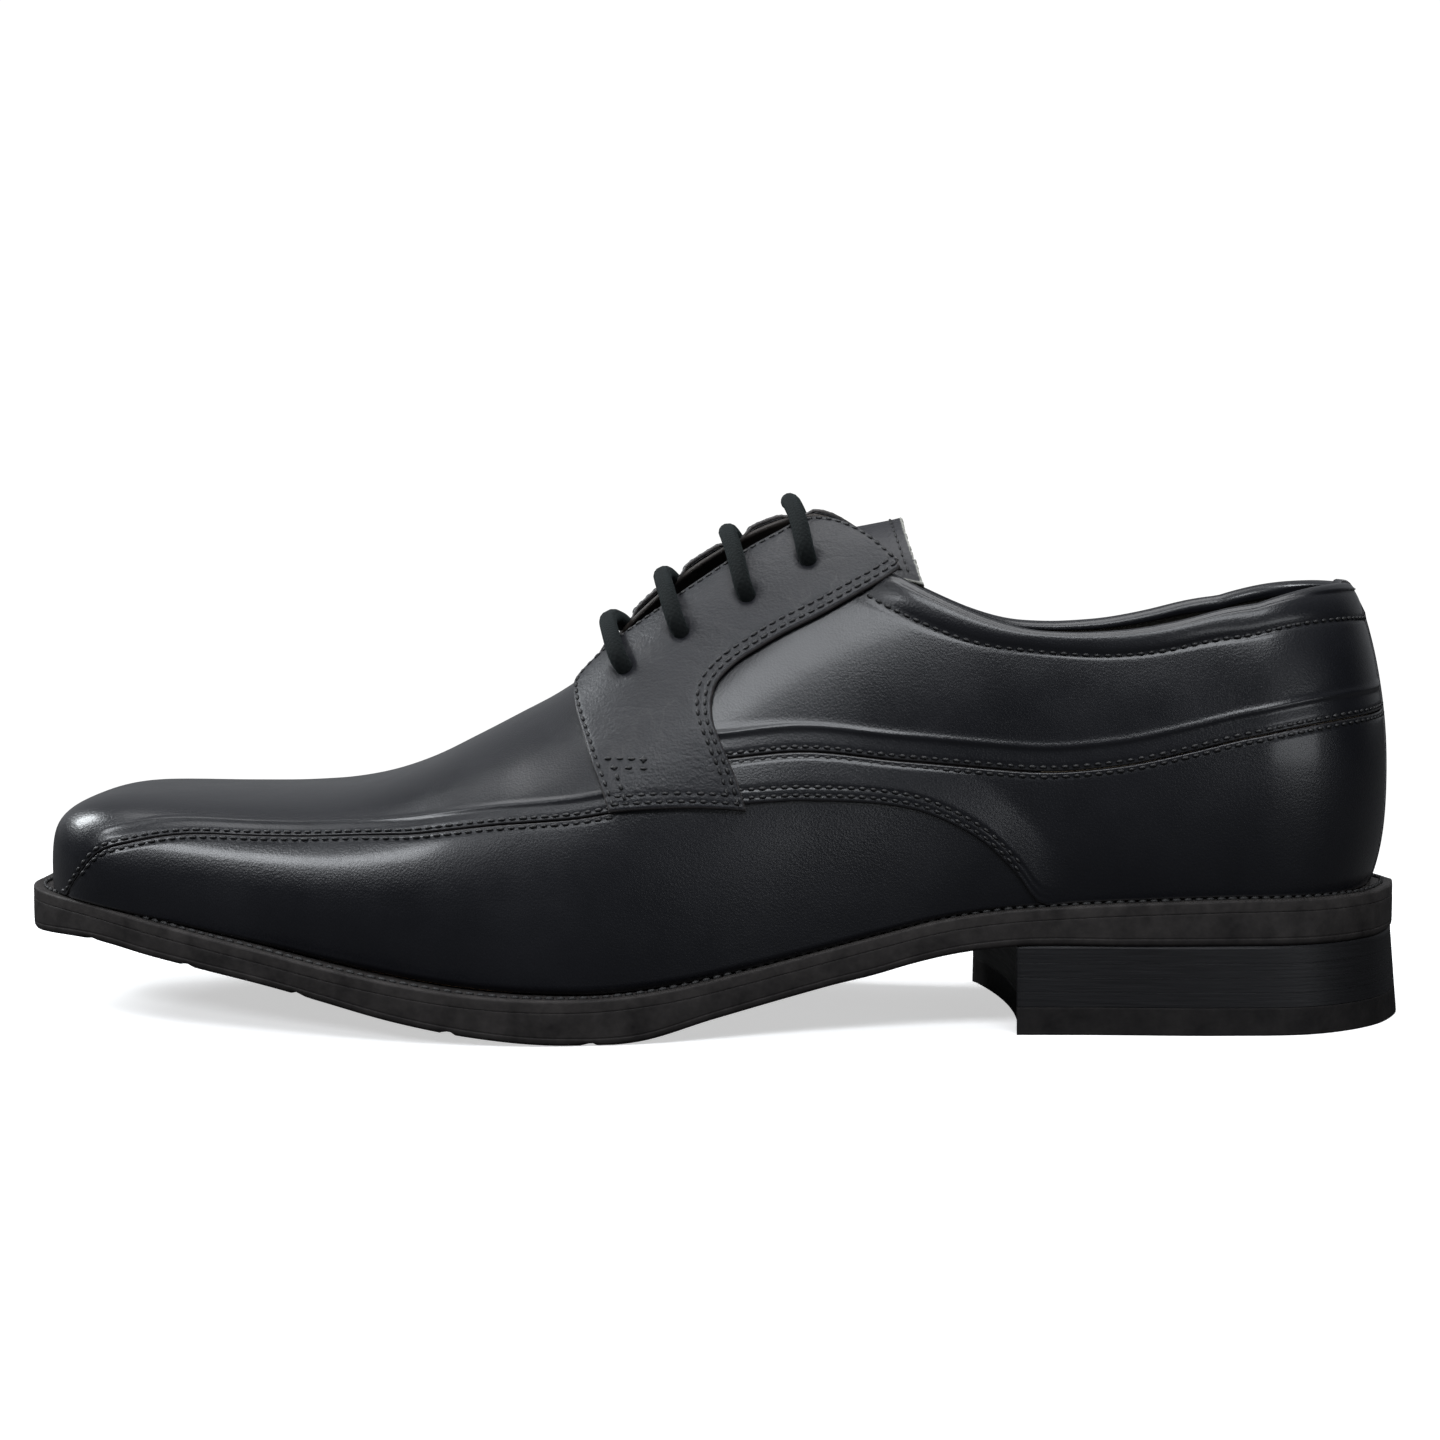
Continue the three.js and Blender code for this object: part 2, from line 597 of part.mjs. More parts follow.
function addInside() {
  const rear = (round) => mix(-31, -6.8, clamp((Math.abs(round) - 0.25) / 0.2, 0, 1));
  const vampLining = (u, v) => {
    const c = 2 * v - 1;
    return [mix(toeStart, rear(c), u), c];
  };
  add('vamp_lining', skin(vampLining, 20, 14, liningDeep, liningIn), 'lining');
  const puff = (u, v) => [mix(-156, -100, u), mix(-0.6, 0.6, v)];
  add('toe_puff', skin(puff, 8, 8, puffDeep, puffIn), 'stiffener');
  const top = placesOf('top', topLine);
  const inner = placesOf('inner', innerEdge);
  const last = backSeam - 0.3;
  const low = seam([-5.6, -1], [50, -1], [100, -1], [last, -1]);
  const high = seam(...top, [last, backTop]);
  const place = patch(low, high, seam([-5.6, -1], [-5.6, -0.7], ...inner.slice(1), top[0]), seam([last, -1], [last, backTop]));
  for (const [name, side] of [['lateral', -1], ['medial', 1]]) {
    add(`quarter_lining_${name}`, skin(other(place, side), 26, 5, liningDeep, liningIn), 'lining');
  }
  const round = (from, lowRound, highRound) => (u, v) => {
    const c = 2 * u - 1;
    const along = backSeam - Math.abs(c) * (backSeam - from);
    const r = mix(lowRound(along), highRound(along), v);
    return [along, c < 0 ? r : -r];
  };
  const topAlong = smoothCurve([...top.map((p) => p[0]), backSeam], [...top.map((p) => p[1]), backTop]);
  const counterHigh = (along) => topAlong(along) - 0.115 - clamp((110 - along) / 45, 0, 1) ** 2 * 0.3;
  add('heel_counter', skin(round(66, () => -1, counterHigh), 32, 4, puffDeep, puffIn), 'stiffener');
  add('collar_padding', skin(round(44, (a) => topAlong(a) - 0.1, (a) => topAlong(a) - 0.006), 40, 1, puffDeep, puffIn), 'foam');
  add('heel_grip', skin(round(98, () => -0.93, (a) => topAlong(a) - 0.1), 20, 3, -5.4, liningDeep - 0.75), 'suede');
}

// ---- tongue, hinged where it is sewn to the vamp
const tongueRoot = -28;
const tongueEnd = 41.5;
const tongueDepth = smoothCurve([-30, -22, -16, -8, 8, 22, 30, 37, 46], [-4.8, -4.2, -3.4, -3.4, -4.5, -5.9, -6, -5.6, -5]);
function addTongue() {
  const place = (u, v) => {
    const c = 2 * v - 1;
    const wide = mix(0.24, 0.252, clamp(u * 2, 0, 1)) + 0.03 * u ** 8;
    const round = c * wide;
    return [mix(tongueRoot, tongueEnd, u) + 4.5 * c * c * u, Math.abs(round) < 1e-6 ? 1e-6 : round];
  };
  const sink = (extra) => (along) => tongueDepth(along) - extra;
  add('tongue', skin(place, 12, 10, sink(1.2), sink(0)), 'calf');
  add('tongue_lining', skin(place, 12, 10, sink(2.6), sink(1.7)), 'lining');
}

// ---- lace: one length, barred straight across, both ends tucked inside
class Route extends THREE.Curve {
  constructor(points) {
    super();
    this.points = points;
    this.line = new THREE.CatmullRomCurve3(points, false, 'centripetal');
  }

  getPoint(t) {
    return this.line.getPoint(t);
  }

  getPointAt(t) {
    return this.line.getPoint(t);
  }

  getTangentAt(t) {
    return this.line.getTangent(t);
  }
}

const laceGap = 0.15;
function laceRoute() {
  const p = placesOf('eyelets', eyelets);
  const out = facingTop + laceDiameter / 2 + laceGap + 0.1;
  const under = -1 - laceDiameter / 2 - 0.4;
  const wall = liningDeep - laceDiameter / 2 - 0.5;
  const on = (a, r, off) => offUpper(a, r, off + lift(a, r));
  const at = (x, y, z) => new THREE.Vector3(x, y, z);
  const floor = (x, y, up) => at(x, y, weltTop(x) + 1.4 + laceDiameter / 2 + 0.5 + up);
  // over the front from hole k, side 1 inner to -1 outer or back
  const bar = (k, from) => {
    const [a, r] = p[k];
    const s = -from * r;
    return [on(a, s, -1.6), on(a, s, 0.6), on(a - 0.2, s * 0.97, 2.7), on(a - 0.6, s * 0.84, out + 0.1), on(a - 1.4, s * 0.6, out),
      on(a - 2.6, s * 0.28, out), on(a - 3.2, 0.001, out - 0.9), on(a - 2.6, -s * 0.28, out),
      on(a - 1.4, -s * 0.6, out), on(a - 0.6, -s * 0.84, out + 0.1), on(a - 0.2, -s * 0.97, 2.7), on(a, -s, 0.6), on(a, -s, -1.6)];
  };
  // under the facing from hole i to hole j, passing the hole between at its crest side or its far side
  const hop = (i, j, side, aside) => {
    const [a, r] = p[i];
    const [b, q] = p[j];
    const d = Math.sign(b - a) * 3.5;
    const by = (t) => [mix(a, b, t), side * (-mix(r, q, t) + aside * Math.sin(Math.PI * t))];
    return [on(a + d, by(0.12)[1], under - 0.4), on(...by(0.35), under - 0.1), on(...by(0.65), under - 0.1), on(b - d, by(0.88)[1], under - 0.4)];
  };
  const rowTop = p[3];
  const rowThree = p[2];
  const tailA = [at(-56, 27, 1.5), at(-66, 25, 0.5), at(-70, 18, 0), at(-67, 10, 0), at(-57, 9, 0), at(-47, 12, 0),
 at(-36, 20, 0), at(-14, 19, 0), at(6, 17, 0)].map((v) => floor(v.x, v.y, v.z));
  const downA = [on(22, 0.86, wall), on(27, 0.7, wall), on(30, 0.55, wall), on(30, 0.42, wall), on(29, 0.36, wall - 0.2),
    on(26.8, 0.28, under - 1.4), on(25, 0.25, under), on(rowTop[0] + 1.2, -rowTop[1] + 0.05, under)];
  const downB = [on(rowThree[0] + 1.2, -rowThree[1] + 0.05, under), on(10.8, 0.255, under), on(11, 0.3, under - 1.4), on(11.5, 0.37, wall - 0.2),
    on(11, 0.45, wall), on(8, 0.6, wall), on(2, 0.76, wall), on(-7, 0.88, wall)];
  const tailB = [at(-20, 26, 6), at(-34, 15, 5.5), at(-46, 2, 4.5), at(-60, -8, 0), at(-70, -7, 0), at(-77, -11, 0), at(-74, -19, 0),
    at(-66, -21, 1)].map((v) => floor(v.x, v.y, v.z));
  return [...tailA, ...downA, ...bar(3, 1), ...hop(3, 1, -1, -0.055), ...bar(1, -1), ...hop(1, 0, 1, 0),
    ...bar(0, 1), ...hop(0, 2, -1, 0.04), ...bar(2, -1), ...downB, ...tailB];
}

function roundShape(radius, sides) {
  const shape = new THREE.Shape();
  for (let i = 0; i < sides; i += 1) {
    const t = (i / sides) * Math.PI * 2;
    if (i) shape.lineTo(radius * Math.cos(t), radius * Math.sin(t));
    else shape.moveTo(radius, 0);
  }
  shape.closePath();
  return shape;
}

function tube(points, radius, sides, steps) {
  const made = new THREE.ExtrudeGeometry(roundShape(radius, sides), { steps, extrudePath: new Route(points), curveSegments: 1 });
  const p = pointsOf(made);
  const faces = [];
  for (let i = 0; i < p.length; i += 3) faces.push([i, i + 1, i + 2]);
  return facingOut(meshOf(p, faces));
}

function addLace() {
  const route = laceRoute();
  add('lace', tube(route, laceDiameter / 2, 8, route.length - 1), 'lace');
  const ends = [[route[0], route[1]], [route.at(-1), route.at(-2)]];
  ends.forEach(([end, next], i) => {
    const away = end.clone().sub(next).normalize();
    const from = end.clone().addScaledVector(away, 0.35);
    add(`aglet_${i + 1}`, tube([from, from.clone().addScaledVector(away, 9), from.clone().addScaledVector(away, 18)], 1.7, 8, 2), 'tip');
  });
}

addBottom();
addVamp();
addQuarters();
addFacings();
addBackstay();
addInside();
addTongue();
addLace();

shoe.position.set(settle[0], settle[1], 0);
export default shoe;
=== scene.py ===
import bmesh
import bpy
import math
import numpy as np
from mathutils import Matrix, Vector


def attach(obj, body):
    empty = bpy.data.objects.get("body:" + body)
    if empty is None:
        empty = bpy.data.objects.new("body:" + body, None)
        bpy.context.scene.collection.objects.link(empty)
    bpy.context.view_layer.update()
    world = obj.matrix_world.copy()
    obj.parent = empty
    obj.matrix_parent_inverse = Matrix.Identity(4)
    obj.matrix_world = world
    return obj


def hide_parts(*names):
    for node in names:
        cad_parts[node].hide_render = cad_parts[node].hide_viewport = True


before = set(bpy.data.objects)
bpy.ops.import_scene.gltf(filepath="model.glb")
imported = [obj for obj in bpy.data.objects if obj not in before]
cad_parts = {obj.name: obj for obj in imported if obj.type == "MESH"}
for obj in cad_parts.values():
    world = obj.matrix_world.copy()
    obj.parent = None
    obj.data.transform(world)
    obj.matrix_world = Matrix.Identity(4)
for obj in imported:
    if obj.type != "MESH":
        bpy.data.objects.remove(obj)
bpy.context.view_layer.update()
print("stage: frame loaded")

cameraSet = {"place": (0.02145, -0.5983, 0.112), "tiltDown": 4.5, "turn": 1.9, "lens": 66.3, "sensor": 36}
cameraData = bpy.data.cameras.new("camera")
cameraData.lens = cameraSet["lens"]
cameraData.sensor_width = cameraSet["sensor"]
cameraData.clip_start = 0.01
camera = bpy.data.objects.new("camera", cameraData)
camera.location = cameraSet["place"]
camera.rotation_euler = (math.radians(90 - cameraSet["tiltDown"]), 0, math.radians(cameraSet["turn"]))
bpy.context.collection.objects.link(camera)
bpy.context.scene.camera = camera

# The shoe's shape, in millimetres. A place on the upper is (along, round): along runs from the toe to the back
# seam, round from -1 at the lateral welt over 0 at the crest to 1 at the medial welt.
last = {"toeTip": -150.5, "toeReach": 24, "toeStart": -171.5, "heelCentre": 117.5, "backRadius": 31.4,
        "gap": 0.4, "settle": (0.05, 1.35, 0)}
backSeam = last["heelCentre"] + math.pi / 2 * last["backRadius"]
toeEnd = last["toeTip"] + last["toeReach"]


def smoothCurve(xs, ys):
    xs, ys = np.array(xs, float), np.array(ys, float)
    h = np.diff(xs)
    d = np.diff(ys) / h
    slope = np.zeros_like(ys)
    slope[1:-1] = (d[:-1] * h[1:] + d[1:] * h[:-1]) / (h[:-1] + h[1:])
    slope[0], slope[-1] = d[0], d[-1]

    def at(x):
        x = np.clip(np.asarray(x, float), xs[0], xs[-1])
        i = np.clip(np.searchsorted(xs, x) - 1, 0, len(xs) - 2)
        t = (x - xs[i]) / h[i]
        s = 1 - t
        return ((1 + 2 * t) * s * s * ys[i] + t * s * s * h[i] * slope[i]
                + t * t * (3 - 2 * t) * ys[i + 1] - t * t * s * h[i] * slope[i + 1])
    return at


def spline6(values, t):
    # cubic B-spline with six control values
    knots = [0, 0, 0, 0, 1, 2, 3, 3, 3, 3]
    u = np.clip(t, 0, 1) * 3 * (1 - 1e-9)
    basis = [((u >= knots[i]) & (u < knots[i + 1])).astype(float) for i in range(9)]
    for p in (1, 2, 3):
        def share(i, start, end):
            return (u - knots[start]) / (knots[end] - knots[start]) * basis[i] if knots[end] != knots[start] else 0
        basis = [share(i, i, i + p) + share(i + 1, i + p + 1, i + 1) for i in range(9 - p)]
    return sum(basis[i] * values[i] for i in range(6))


stations = [-150, -125, -100, -75, -50, -25, 0, 25, 50, 75, 100, 117.5]
crestY = smoothCurve(stations, [5, 5, 6, 7, 7.5, 7, 5.5, 4, 2, 0.5, 0, 0])
featherOut = smoothCurve(stations, [-28, -31, -36, -41.5, -45.5, -46.5, -43.5, -38.5, -34, -32, -32, -31.6])
featherIn = smoothCurve(stations, [33, 39, 44.5, 48, 47.5, 43.5, 37, 31, 28.5, 29.5, 31, 31.6])
weltTop = smoothCurve(
    [-156, -136, -122, -108, -94, -80, -66, -50, -36, -22, -8, 8, 21, 39, 50, 62, 78, 94, 110, 130, 156],
    [28, 26, 23.4, 20.8, 18.2, 15.4, 12.9, 10.8, 9.9, 9.9, 11.4, 14.6, 17.6, 22, 24.6, 26.4, 27.6, 28.4, 29,
     29.3, 29.3])
crestZ = smoothCurve(
    [-150, -125, -110, -95, -85, -75, -65, -55, -45, -35, -27, -20, 0, 20, 40, 60, 90, 117.5],
    [49, 49.2, 49, 49.2, 50, 52, 55.5, 60.4, 65.6, 71, 76.6, 83, 99.6, 111.8, 116, 119, 122, 124])
ribX = [-150, -110, -60, -20, 20, 60, 100, 117.5]
ribOut = [smoothCurve(ribX, row) for row in (  # how far out each control value of a cross-section stands
    [1] * 8, [1.05, 1.05, 1.05, 1.05, 1.07, 1.09, 1.1, 1.09], [0.99, 0.985, 1, 1, 0.97, 1.08, 1.17, 1.19],
    [0.74, 0.74, 0.74, 0.7, 0.68, 0.98, 1.1, 1.11], [0.35, 0.35, 0.36, 0.3, 0.28, 0.5, 0.84, 0.9], [0] * 8)]
ribUp = [smoothCurve(ribX, row) for row in (  # and how far up
    [0] * 8, [0.36, 0.34, 0.3, 0.26, 0.22, 0.14, 0.09, 0.08], [0.8, 0.78, 0.7, 0.58, 0.5, 0.38, 0.28, 0.26],
    [0.985, 0.97, 0.93, 0.84, 0.82, 0.7, 0.52, 0.48], [1, 1, 1, 1, 1, 0.95, 0.78, 0.72], [1] * 8)]
backOut = [29.8, 32.6, 33.4, 32.2, 26.6, 14]
backUp = [0, 7, 24, 44, 66, 95]
liftAlong = smoothCurve([-30, -22, -8, 8, 24, 34], [3, 3.4, 3, 1.8, 0.4, 0])
innerLift = smoothCurve([-30, -22, -8, 8, 24, 36], [0, 0.6, 2.1, 2, 1.4, 0.3])


def toeRound(x, reach, power):
    t = np.clip((x - last["toeTip"]) / reach, 0, 1)
    return (1 - (1 - t) ** power) ** (1 / power)


def alongToX(along):
    s = np.clip((along - last["toeStart"]) / (toeEnd - last["toeStart"]), 0, 1)
    return np.where(along >= toeEnd, along, last["toeTip"] + last["toeReach"] * s ** 2.4)


def upperPoint(along, turnRound):
    along, r0 = np.broadcast_arrays(np.asarray(along, float), np.asarray(turnRound, float))
    x = np.minimum(alongToX(along), last["heelCentre"])
    turn = np.clip((along - last["heelCentre"]) / last["backRadius"], 0, math.pi / 2)
    side = np.where(r0 < 0, -1.0, 1.0)
    half = np.where(r0 < 0, crestY(x) - featherOut(x), featherIn(x) - crestY(x))
    half = half * toeRound(x, last["toeReach"], 2.4)
    base = weltTop(x) + last["gap"]
    rise = (crestZ(x) - base) * toeRound(x, 26, 3.3)
    back = np.sin(turn) ** 2
    t = 1 - np.abs(r0)
    r = spline6([ribOut[i](x) * half * (1 - back) + backOut[i] * back for i in range(6)], t)
    z = spline6([ribUp[i](x) * rise * (1 - back) + backUp[i] * back for i in range(6)], t)
    return np.stack([x + r * np.sin(turn), crestY(x) + side * r * np.cos(turn), base + z], -1)


def upperNormal(along, r):
    along, r = np.broadcast_arrays(np.asarray(along, float), np.asarray(r, float))
    a0, a1 = along - 0.25, np.minimum(along + 0.25, backSeam)
    lo = np.where(r < 0, np.maximum(r - 0.004, -1), r - 0.004)
    hi = np.where(r > 0, np.minimum(r + 0.004, 1), r + 0.004)
    n = -np.cross(upperPoint(along, hi) - upperPoint(along, lo), upperPoint(a1, r) - upperPoint(a0, r))
    n /= np.linalg.norm(n, axis=-1, keepdims=True) + 1e-12
    tip = np.clip((last["toeStart"] + 2.5 - along) / 2.5, 0, 1)[..., None]
    n = n * (1 - tip) + np.array([-0.995, 0, 0.1]) * tip
    return n / np.linalg.norm(n, axis=-1, keepdims=True)


def offUpper(along, r, off):
    return upperPoint(along, r) + upperNormal(along, r) * np.asarray(off)[..., None]


def easeUp(t):
    t = np.clip(t, 0, 1)
    return t * t * (3 - 2 * t)


def lift(along, r):
    # how much the laces and tongue hold the facings off the foot; the inner facing stands higher
    r = np.asarray(r)
    inner = innerLift(along) * easeUp(r / 0.06) * easeUp((0.28 - r) / 0.14)
    return liftAlong(along) * easeUp((0.46 - np.abs(r)) / 0.28) + inner


def halving(low, high, isBelow, steps=26):
    for _ in range(steps):
        mid = (low + high) / 2
        below = isBelow(mid)
        low, high = np.where(below, mid, low), np.where(below, high, mid)
    return (low + high) / 2


def roundAt(along, z):
    # the lateral place at this height
    return halving(np.full(np.shape(z), -1.0), np.full(np.shape(z), -0.001),
                   lambda mid: upperPoint(along, mid)[..., 2] < z)


def places(points):
    # points of the pattern, (x, z) on the lateral side, as (along, round)
    x, z = np.array(points, float).T
    along = halving(np.full(len(x), float(last["toeStart"])), np.full(len(x), backSeam),
                    lambda mid: upperPoint(mid, roundAt(mid, z))[:, 0] < x)
    return [(float(a), -1.0 if r < -0.998 else float(r)) for a, r in zip(along, roundAt(along, z))]


def splineThrough(points, perSpan=24):
    # centripetal Catmull-Rom through the points
    p = np.array(points, float)
    p = np.vstack([2 * p[0] - p[1], p, 2 * p[-1] - p[-2]])
    out = []
    for i in range(1, len(p) - 2):
        rows = list(p[i - 1:i + 3])
        k = np.cumsum([0] + [max(np.linalg.norm(rows[j + 1] - rows[j]), 1e-6) ** 0.5 for j in range(3)])
        t = np.linspace(k[1], k[2], perSpan, endpoint=False)[:, None]
        for low, high in (((0, 1, 2), (1, 2, 3)), ((0, 1), (2, 3)), ((1,), (2,))):
            rows = [((k[b] - t) * rows[j] + (t - k[a]) * rows[j + 1]) / (k[b] - k[a])
                    for j, (a, b) in enumerate(zip(low, high))]
        out.append(rows[0])
    return np.vstack(out + [p[-2:-1]])


def lengths(p, axis=0):
    # lengths run up along the lines of points
    run = np.cumsum(np.linalg.norm(np.diff(p, axis=axis), axis=-1), axis=axis)
    return np.concatenate([np.zeros_like(run.take([0], axis)), run], axis)


class Seam:
    # a line on the upper through places, met at equal shares of its length
    def __init__(self, points):
        self.p = splineThrough([(a, r * 100) for a, r in points])
        self.s = lengths(self.p)

    def at(self, t):
        s = np.clip(t, 0, 1) * self.s[-1]
        return np.interp(s, self.s, self.p[:, 0]), np.clip(np.interp(s, self.s, self.p[:, 1]) / 100, -1, 1)


def patch(low, high, front=None, back=None):
    # the places between two seams, and between four where it has a front and a back
    def at(u, v):
        u, v = np.broadcast_arrays(np.asarray(u, float), np.asarray(v, float))
        a, b = low.at(u), high.at(u)
        flat = [a[k] * (1 - v) + b[k] * v for k in (0, 1)]
        if front is None:
            return tuple(flat)
        c, d = front.at(v), back.at(v)
        corners = [low.at(0), low.at(1), high.at(0), high.at(1)]
        return tuple(flat[k] + c[k] * (1 - u) + d[k] * u
                     - (corners[0][k] * (1 - u) + corners[1][k] * u) * (1 - v)
                     - (corners[2][k] * (1 - u) + corners[3][k] * u) * v for k in (0, 1))
    return at


frontSeam = places([[-138.3, 32.8], [-133.4, 37.8], [-128, 39.8], [-113.8, 42.2], [-98.3, 42.2], [-78, 42.8],
                    [-59.3, 44], [-35.5, 46.6], [-20.6, 48.5]])
sideSeam = places([[-5, 49.6], [9, 50.2], [22.8, 50.6], [38.9, 49.5], [47, 47.7], [58.6, 41.8], [66.3, 34.4],
                   [69.8, 27]])
stripSeam = places([[-5, 59.4], [5.7, 59.9], [31.2, 60.2], [55, 57.8], [71.9, 56.6], [87.5, 57.9], [103, 61.2],
                    [118.7, 64.8], [135, 67.5]])
topLine = places([[37, 100.5], [48.6, 94.6], [60.5, 89.4], [68.5, 87.2], [77.2, 86.5], [88.3, 87], [100.2, 89],
                  [112, 91.9], [124.8, 94.9], [137, 96.9]])
eyelets = places([[-16.8, 75.8], [-5, 84], [8.8, 92.4], [21.7, 100.5]])
facingBack = places([[8.4, 48.6], [6.2, 55.5], [3.5, 61.7], [1.4, 67], [1.1, 71.4], [2.2, 75], [5.8, 78.8],
                     [12, 82.8], [23, 88.6], [33.5, 94.4], [41.5, 99.2]])
facingFront = places([[-20.4, 48.4], [-25, 60], [-28, 69]])
facingTip = places([[40.5, 101.6]])
outerTopEdge = [(-27.2, -0.2), (-21, -0.18), (-5.5, -0.18), (8, -0.161), (14.8, -0.148), (22, -0.125),
                (31.5, -0.17)]
innerTopEdge = [(-27.2, -0.2), (-21, -0.13), (-8.2, -0.11), (4.8, -0.1), (15, -0.1), (24, -0.115),
                (31.5, -0.17)]
innerEdge = places([[-5.2, 60.2], [-5.5, 68], [-4.5, 75], [-1, 80.5], [8, 85.8], [20, 91.8], [30, 97.2],
                    [36.5, 100.6]])
backHeight = 96.9
backTop = float(roundAt(backSeam, backHeight))
backStrip = float(roundAt(backSeam, 69))
print("stage: pattern lines laid out")


def toWorld(p):
    return (np.asarray(p) + np.array(last["settle"])) / 1000


def makeMesh(name, points, faces, attributes=None, smooth=True):
    mesh = bpy.data.meshes.new(name)
    mesh.from_pydata([tuple(v) for v in points], [], [tuple(int(i) for i in f) for f in faces])
    for key, values in (attributes or {}).items():
        layer = mesh.attributes.new(key, "FLOAT", "POINT")
        layer.data.foreach_set("value", np.asarray(values, np.float32).ravel())
    mesh.validate()
    mesh.update()
    if smooth:
        mesh.shade_smooth()
    ob = bpy.data.objects.new(name, mesh)
    bpy.context.collection.objects.link(ob)
    return ob


def cleanMesh(ob, closed=False):
    # joins doubled points; a closed body also gets its faces turned outwards
    bm = bmesh.new()
    bm.from_mesh(ob.data)
    bmesh.ops.remove_doubles(bm, verts=bm.verts, dist=1e-6 if closed else 1e-5)
    if closed:
        bmesh.ops.recalc_face_normals(bm, faces=bm.faces)
    else:
        bmesh.ops.dissolve_degenerate(bm, edges=bm.edges, dist=1e-7)
    bm.to_mesh(ob.data)
    bm.free()
    return ob


def thicken(ob, amount):
    mod = ob.modifiers.new("thickness", "SOLIDIFY")
    mod.thickness = amount / 1000
    mod.offset = -1
    mod.use_even_offset = False
    mod.use_quality_normals = True
    mesh = bpy.data.meshes.new_from_object(ob.evaluated_get(bpy.context.evaluated_depsgraph_get()))
    old = ob.data
    ob.modifiers.clear()
    ob.data = mesh
    bpy.data.meshes.remove(old)
    return ob


def sheet(name, points, edge, thick, flip=False, faceAxis=None):
    # a sheet through a grid of points; edge is each point's distance from a cut edge, for the wear
    rows, cols = points.shape[:2]
    i, j = np.meshgrid(np.arange(rows - 1), np.arange(cols - 1), indexing="ij")
    a, b = i * cols + j, (i + 1) * cols + j
    faces = np.stack([a, b, b + 1, a + 1], -1).reshape(-1, 4)
    ob = makeMesh(name, toWorld(points).reshape(-1, 3), faces[:, ::-1] if flip else faces,
                  {"edge": np.broadcast_to(edge, (rows, cols))})
    cleanMesh(ob)
    if faceAxis is not None and sum(f.normal[faceAxis] for f in ob.data.polygons) < 0:
        ob.data.flip_normals()
    return thicken(ob, thick)


anchors = np.array([0, 0.18, 0.45, 0.8, 1.2, 1.6, 2.0, 2.5, 3.1, 3.6, 4.0, 4.4, 4.8, 5.2, 5.6, 6.0, 6.6])


def lineUp(length, step, startWorked, endWorked, count=None):
    # places along a length, close together near the ends that have a worked edge
    k = np.minimum(1, 0.42 * length / anchors[-1])
    mids = count or max(int(np.max(length) / step), 2)
    first = [k * a for a in anchors] if startWorked else [0 * length]
    final = [length - k * a for a in anchors[::-1]] if endWorked else [length]
    middle = [first[-1] + (final[0] - first[-1]) * (i + 1) / (mids + 1) for i in range(mids)]
    return np.array(first + middle + final)


def layGrid(place, step, worked, uLines=None, count=None, fine=61):
    # places of a grid with fine lines by its worked edges; u, U its start and end, v, V its low and high
    if uLines is None:
        u0 = np.linspace(0, 1, 161)
        su = lengths(upperPoint(*place(u0, 0.5)))
        uLines = np.interp(lineUp(su[-1], step[0], "u" in worked, "U" in worked), su, u0)
    v0 = np.linspace(0, 1, fine)
    sv = lengths(upperPoint(*place(uLines[:, None], v0[None, :])), 1)
    width = sv[:, -1]
    s = lineUp(width, step[1], "v" in worked, "V" in worked, count).T
    v = np.array([np.interp(s[i], sv[i], v0) if width[i] > 1e-6 else np.linspace(0, 1, s.shape[1])
                  for i in range(len(uLines))])
    u = np.repeat(uLines[:, None], v.shape[1], 1)
    a, r = place(u, v)
    along = lengths(upperPoint(a, r))
    return {"a": a, "r": r, "v": v, "low": s, "high": width[:, None] - s, "start": along,
            "end": along[-1:] - along}


def roundedEdge(distance, radius, drop):
    t = np.clip(distance / radius, 0, 1)
    return -drop * (1 - np.sqrt(np.clip(1 - (1 - t) ** 2, 0, 1)))


def groove(distance, at, depth=0.2, width=0.45):
    return -depth * np.exp(-((distance - at) / width) ** 2)


def ridge(distance, at=4.4, height=0.42, width=0.62):
    # a narrow pressed ridge, a little lower on the seam's side
    crest = height * np.exp(-((distance - at) / width) ** 2)
    return crest - 0.12 * easeUp(1 - (distance - at) / width) * easeUp(distance / at)


def buildPanel(name, grid, off, thickness, side):
    edge = np.minimum(np.minimum(grid["low"], grid["high"]), np.minimum(grid["start"], grid["end"]))
    return sheet(name, offUpper(grid["a"], -side * grid["r"], off), edge, thickness, side > 0)


stitchLines = {"upper": [], "welt": [], "tongue": []}


def level(height):
    return lambda a, r: np.full(a.shape, height)


def sewRows(place, side, offAt, rows):
    # rows of stitches, each by its edge of a patch, its distance from it, and where it starts and ends
    v0 = np.linspace(0, 1, 81)
    for edge, distance, start, end in rows:
        t = np.linspace(start, end, 260)
        turned = edge in "uU"
        a, r = place(v0[None, :], t[:, None]) if turned else place(t[:, None], v0[None, :])
        s = lengths(upperPoint(a, r), 1)
        want = s[:, -1] - distance if edge in "UV" else np.full(len(t), distance)
        q = np.array([np.interp(want[i], s[i], v0) for i in range(len(t))])
        a, r = place(q, t) if turned else place(t, q)
        stitchLines["upper"].append(toWorld(offUpper(a, -side * r, offAt(a, -side * r))))


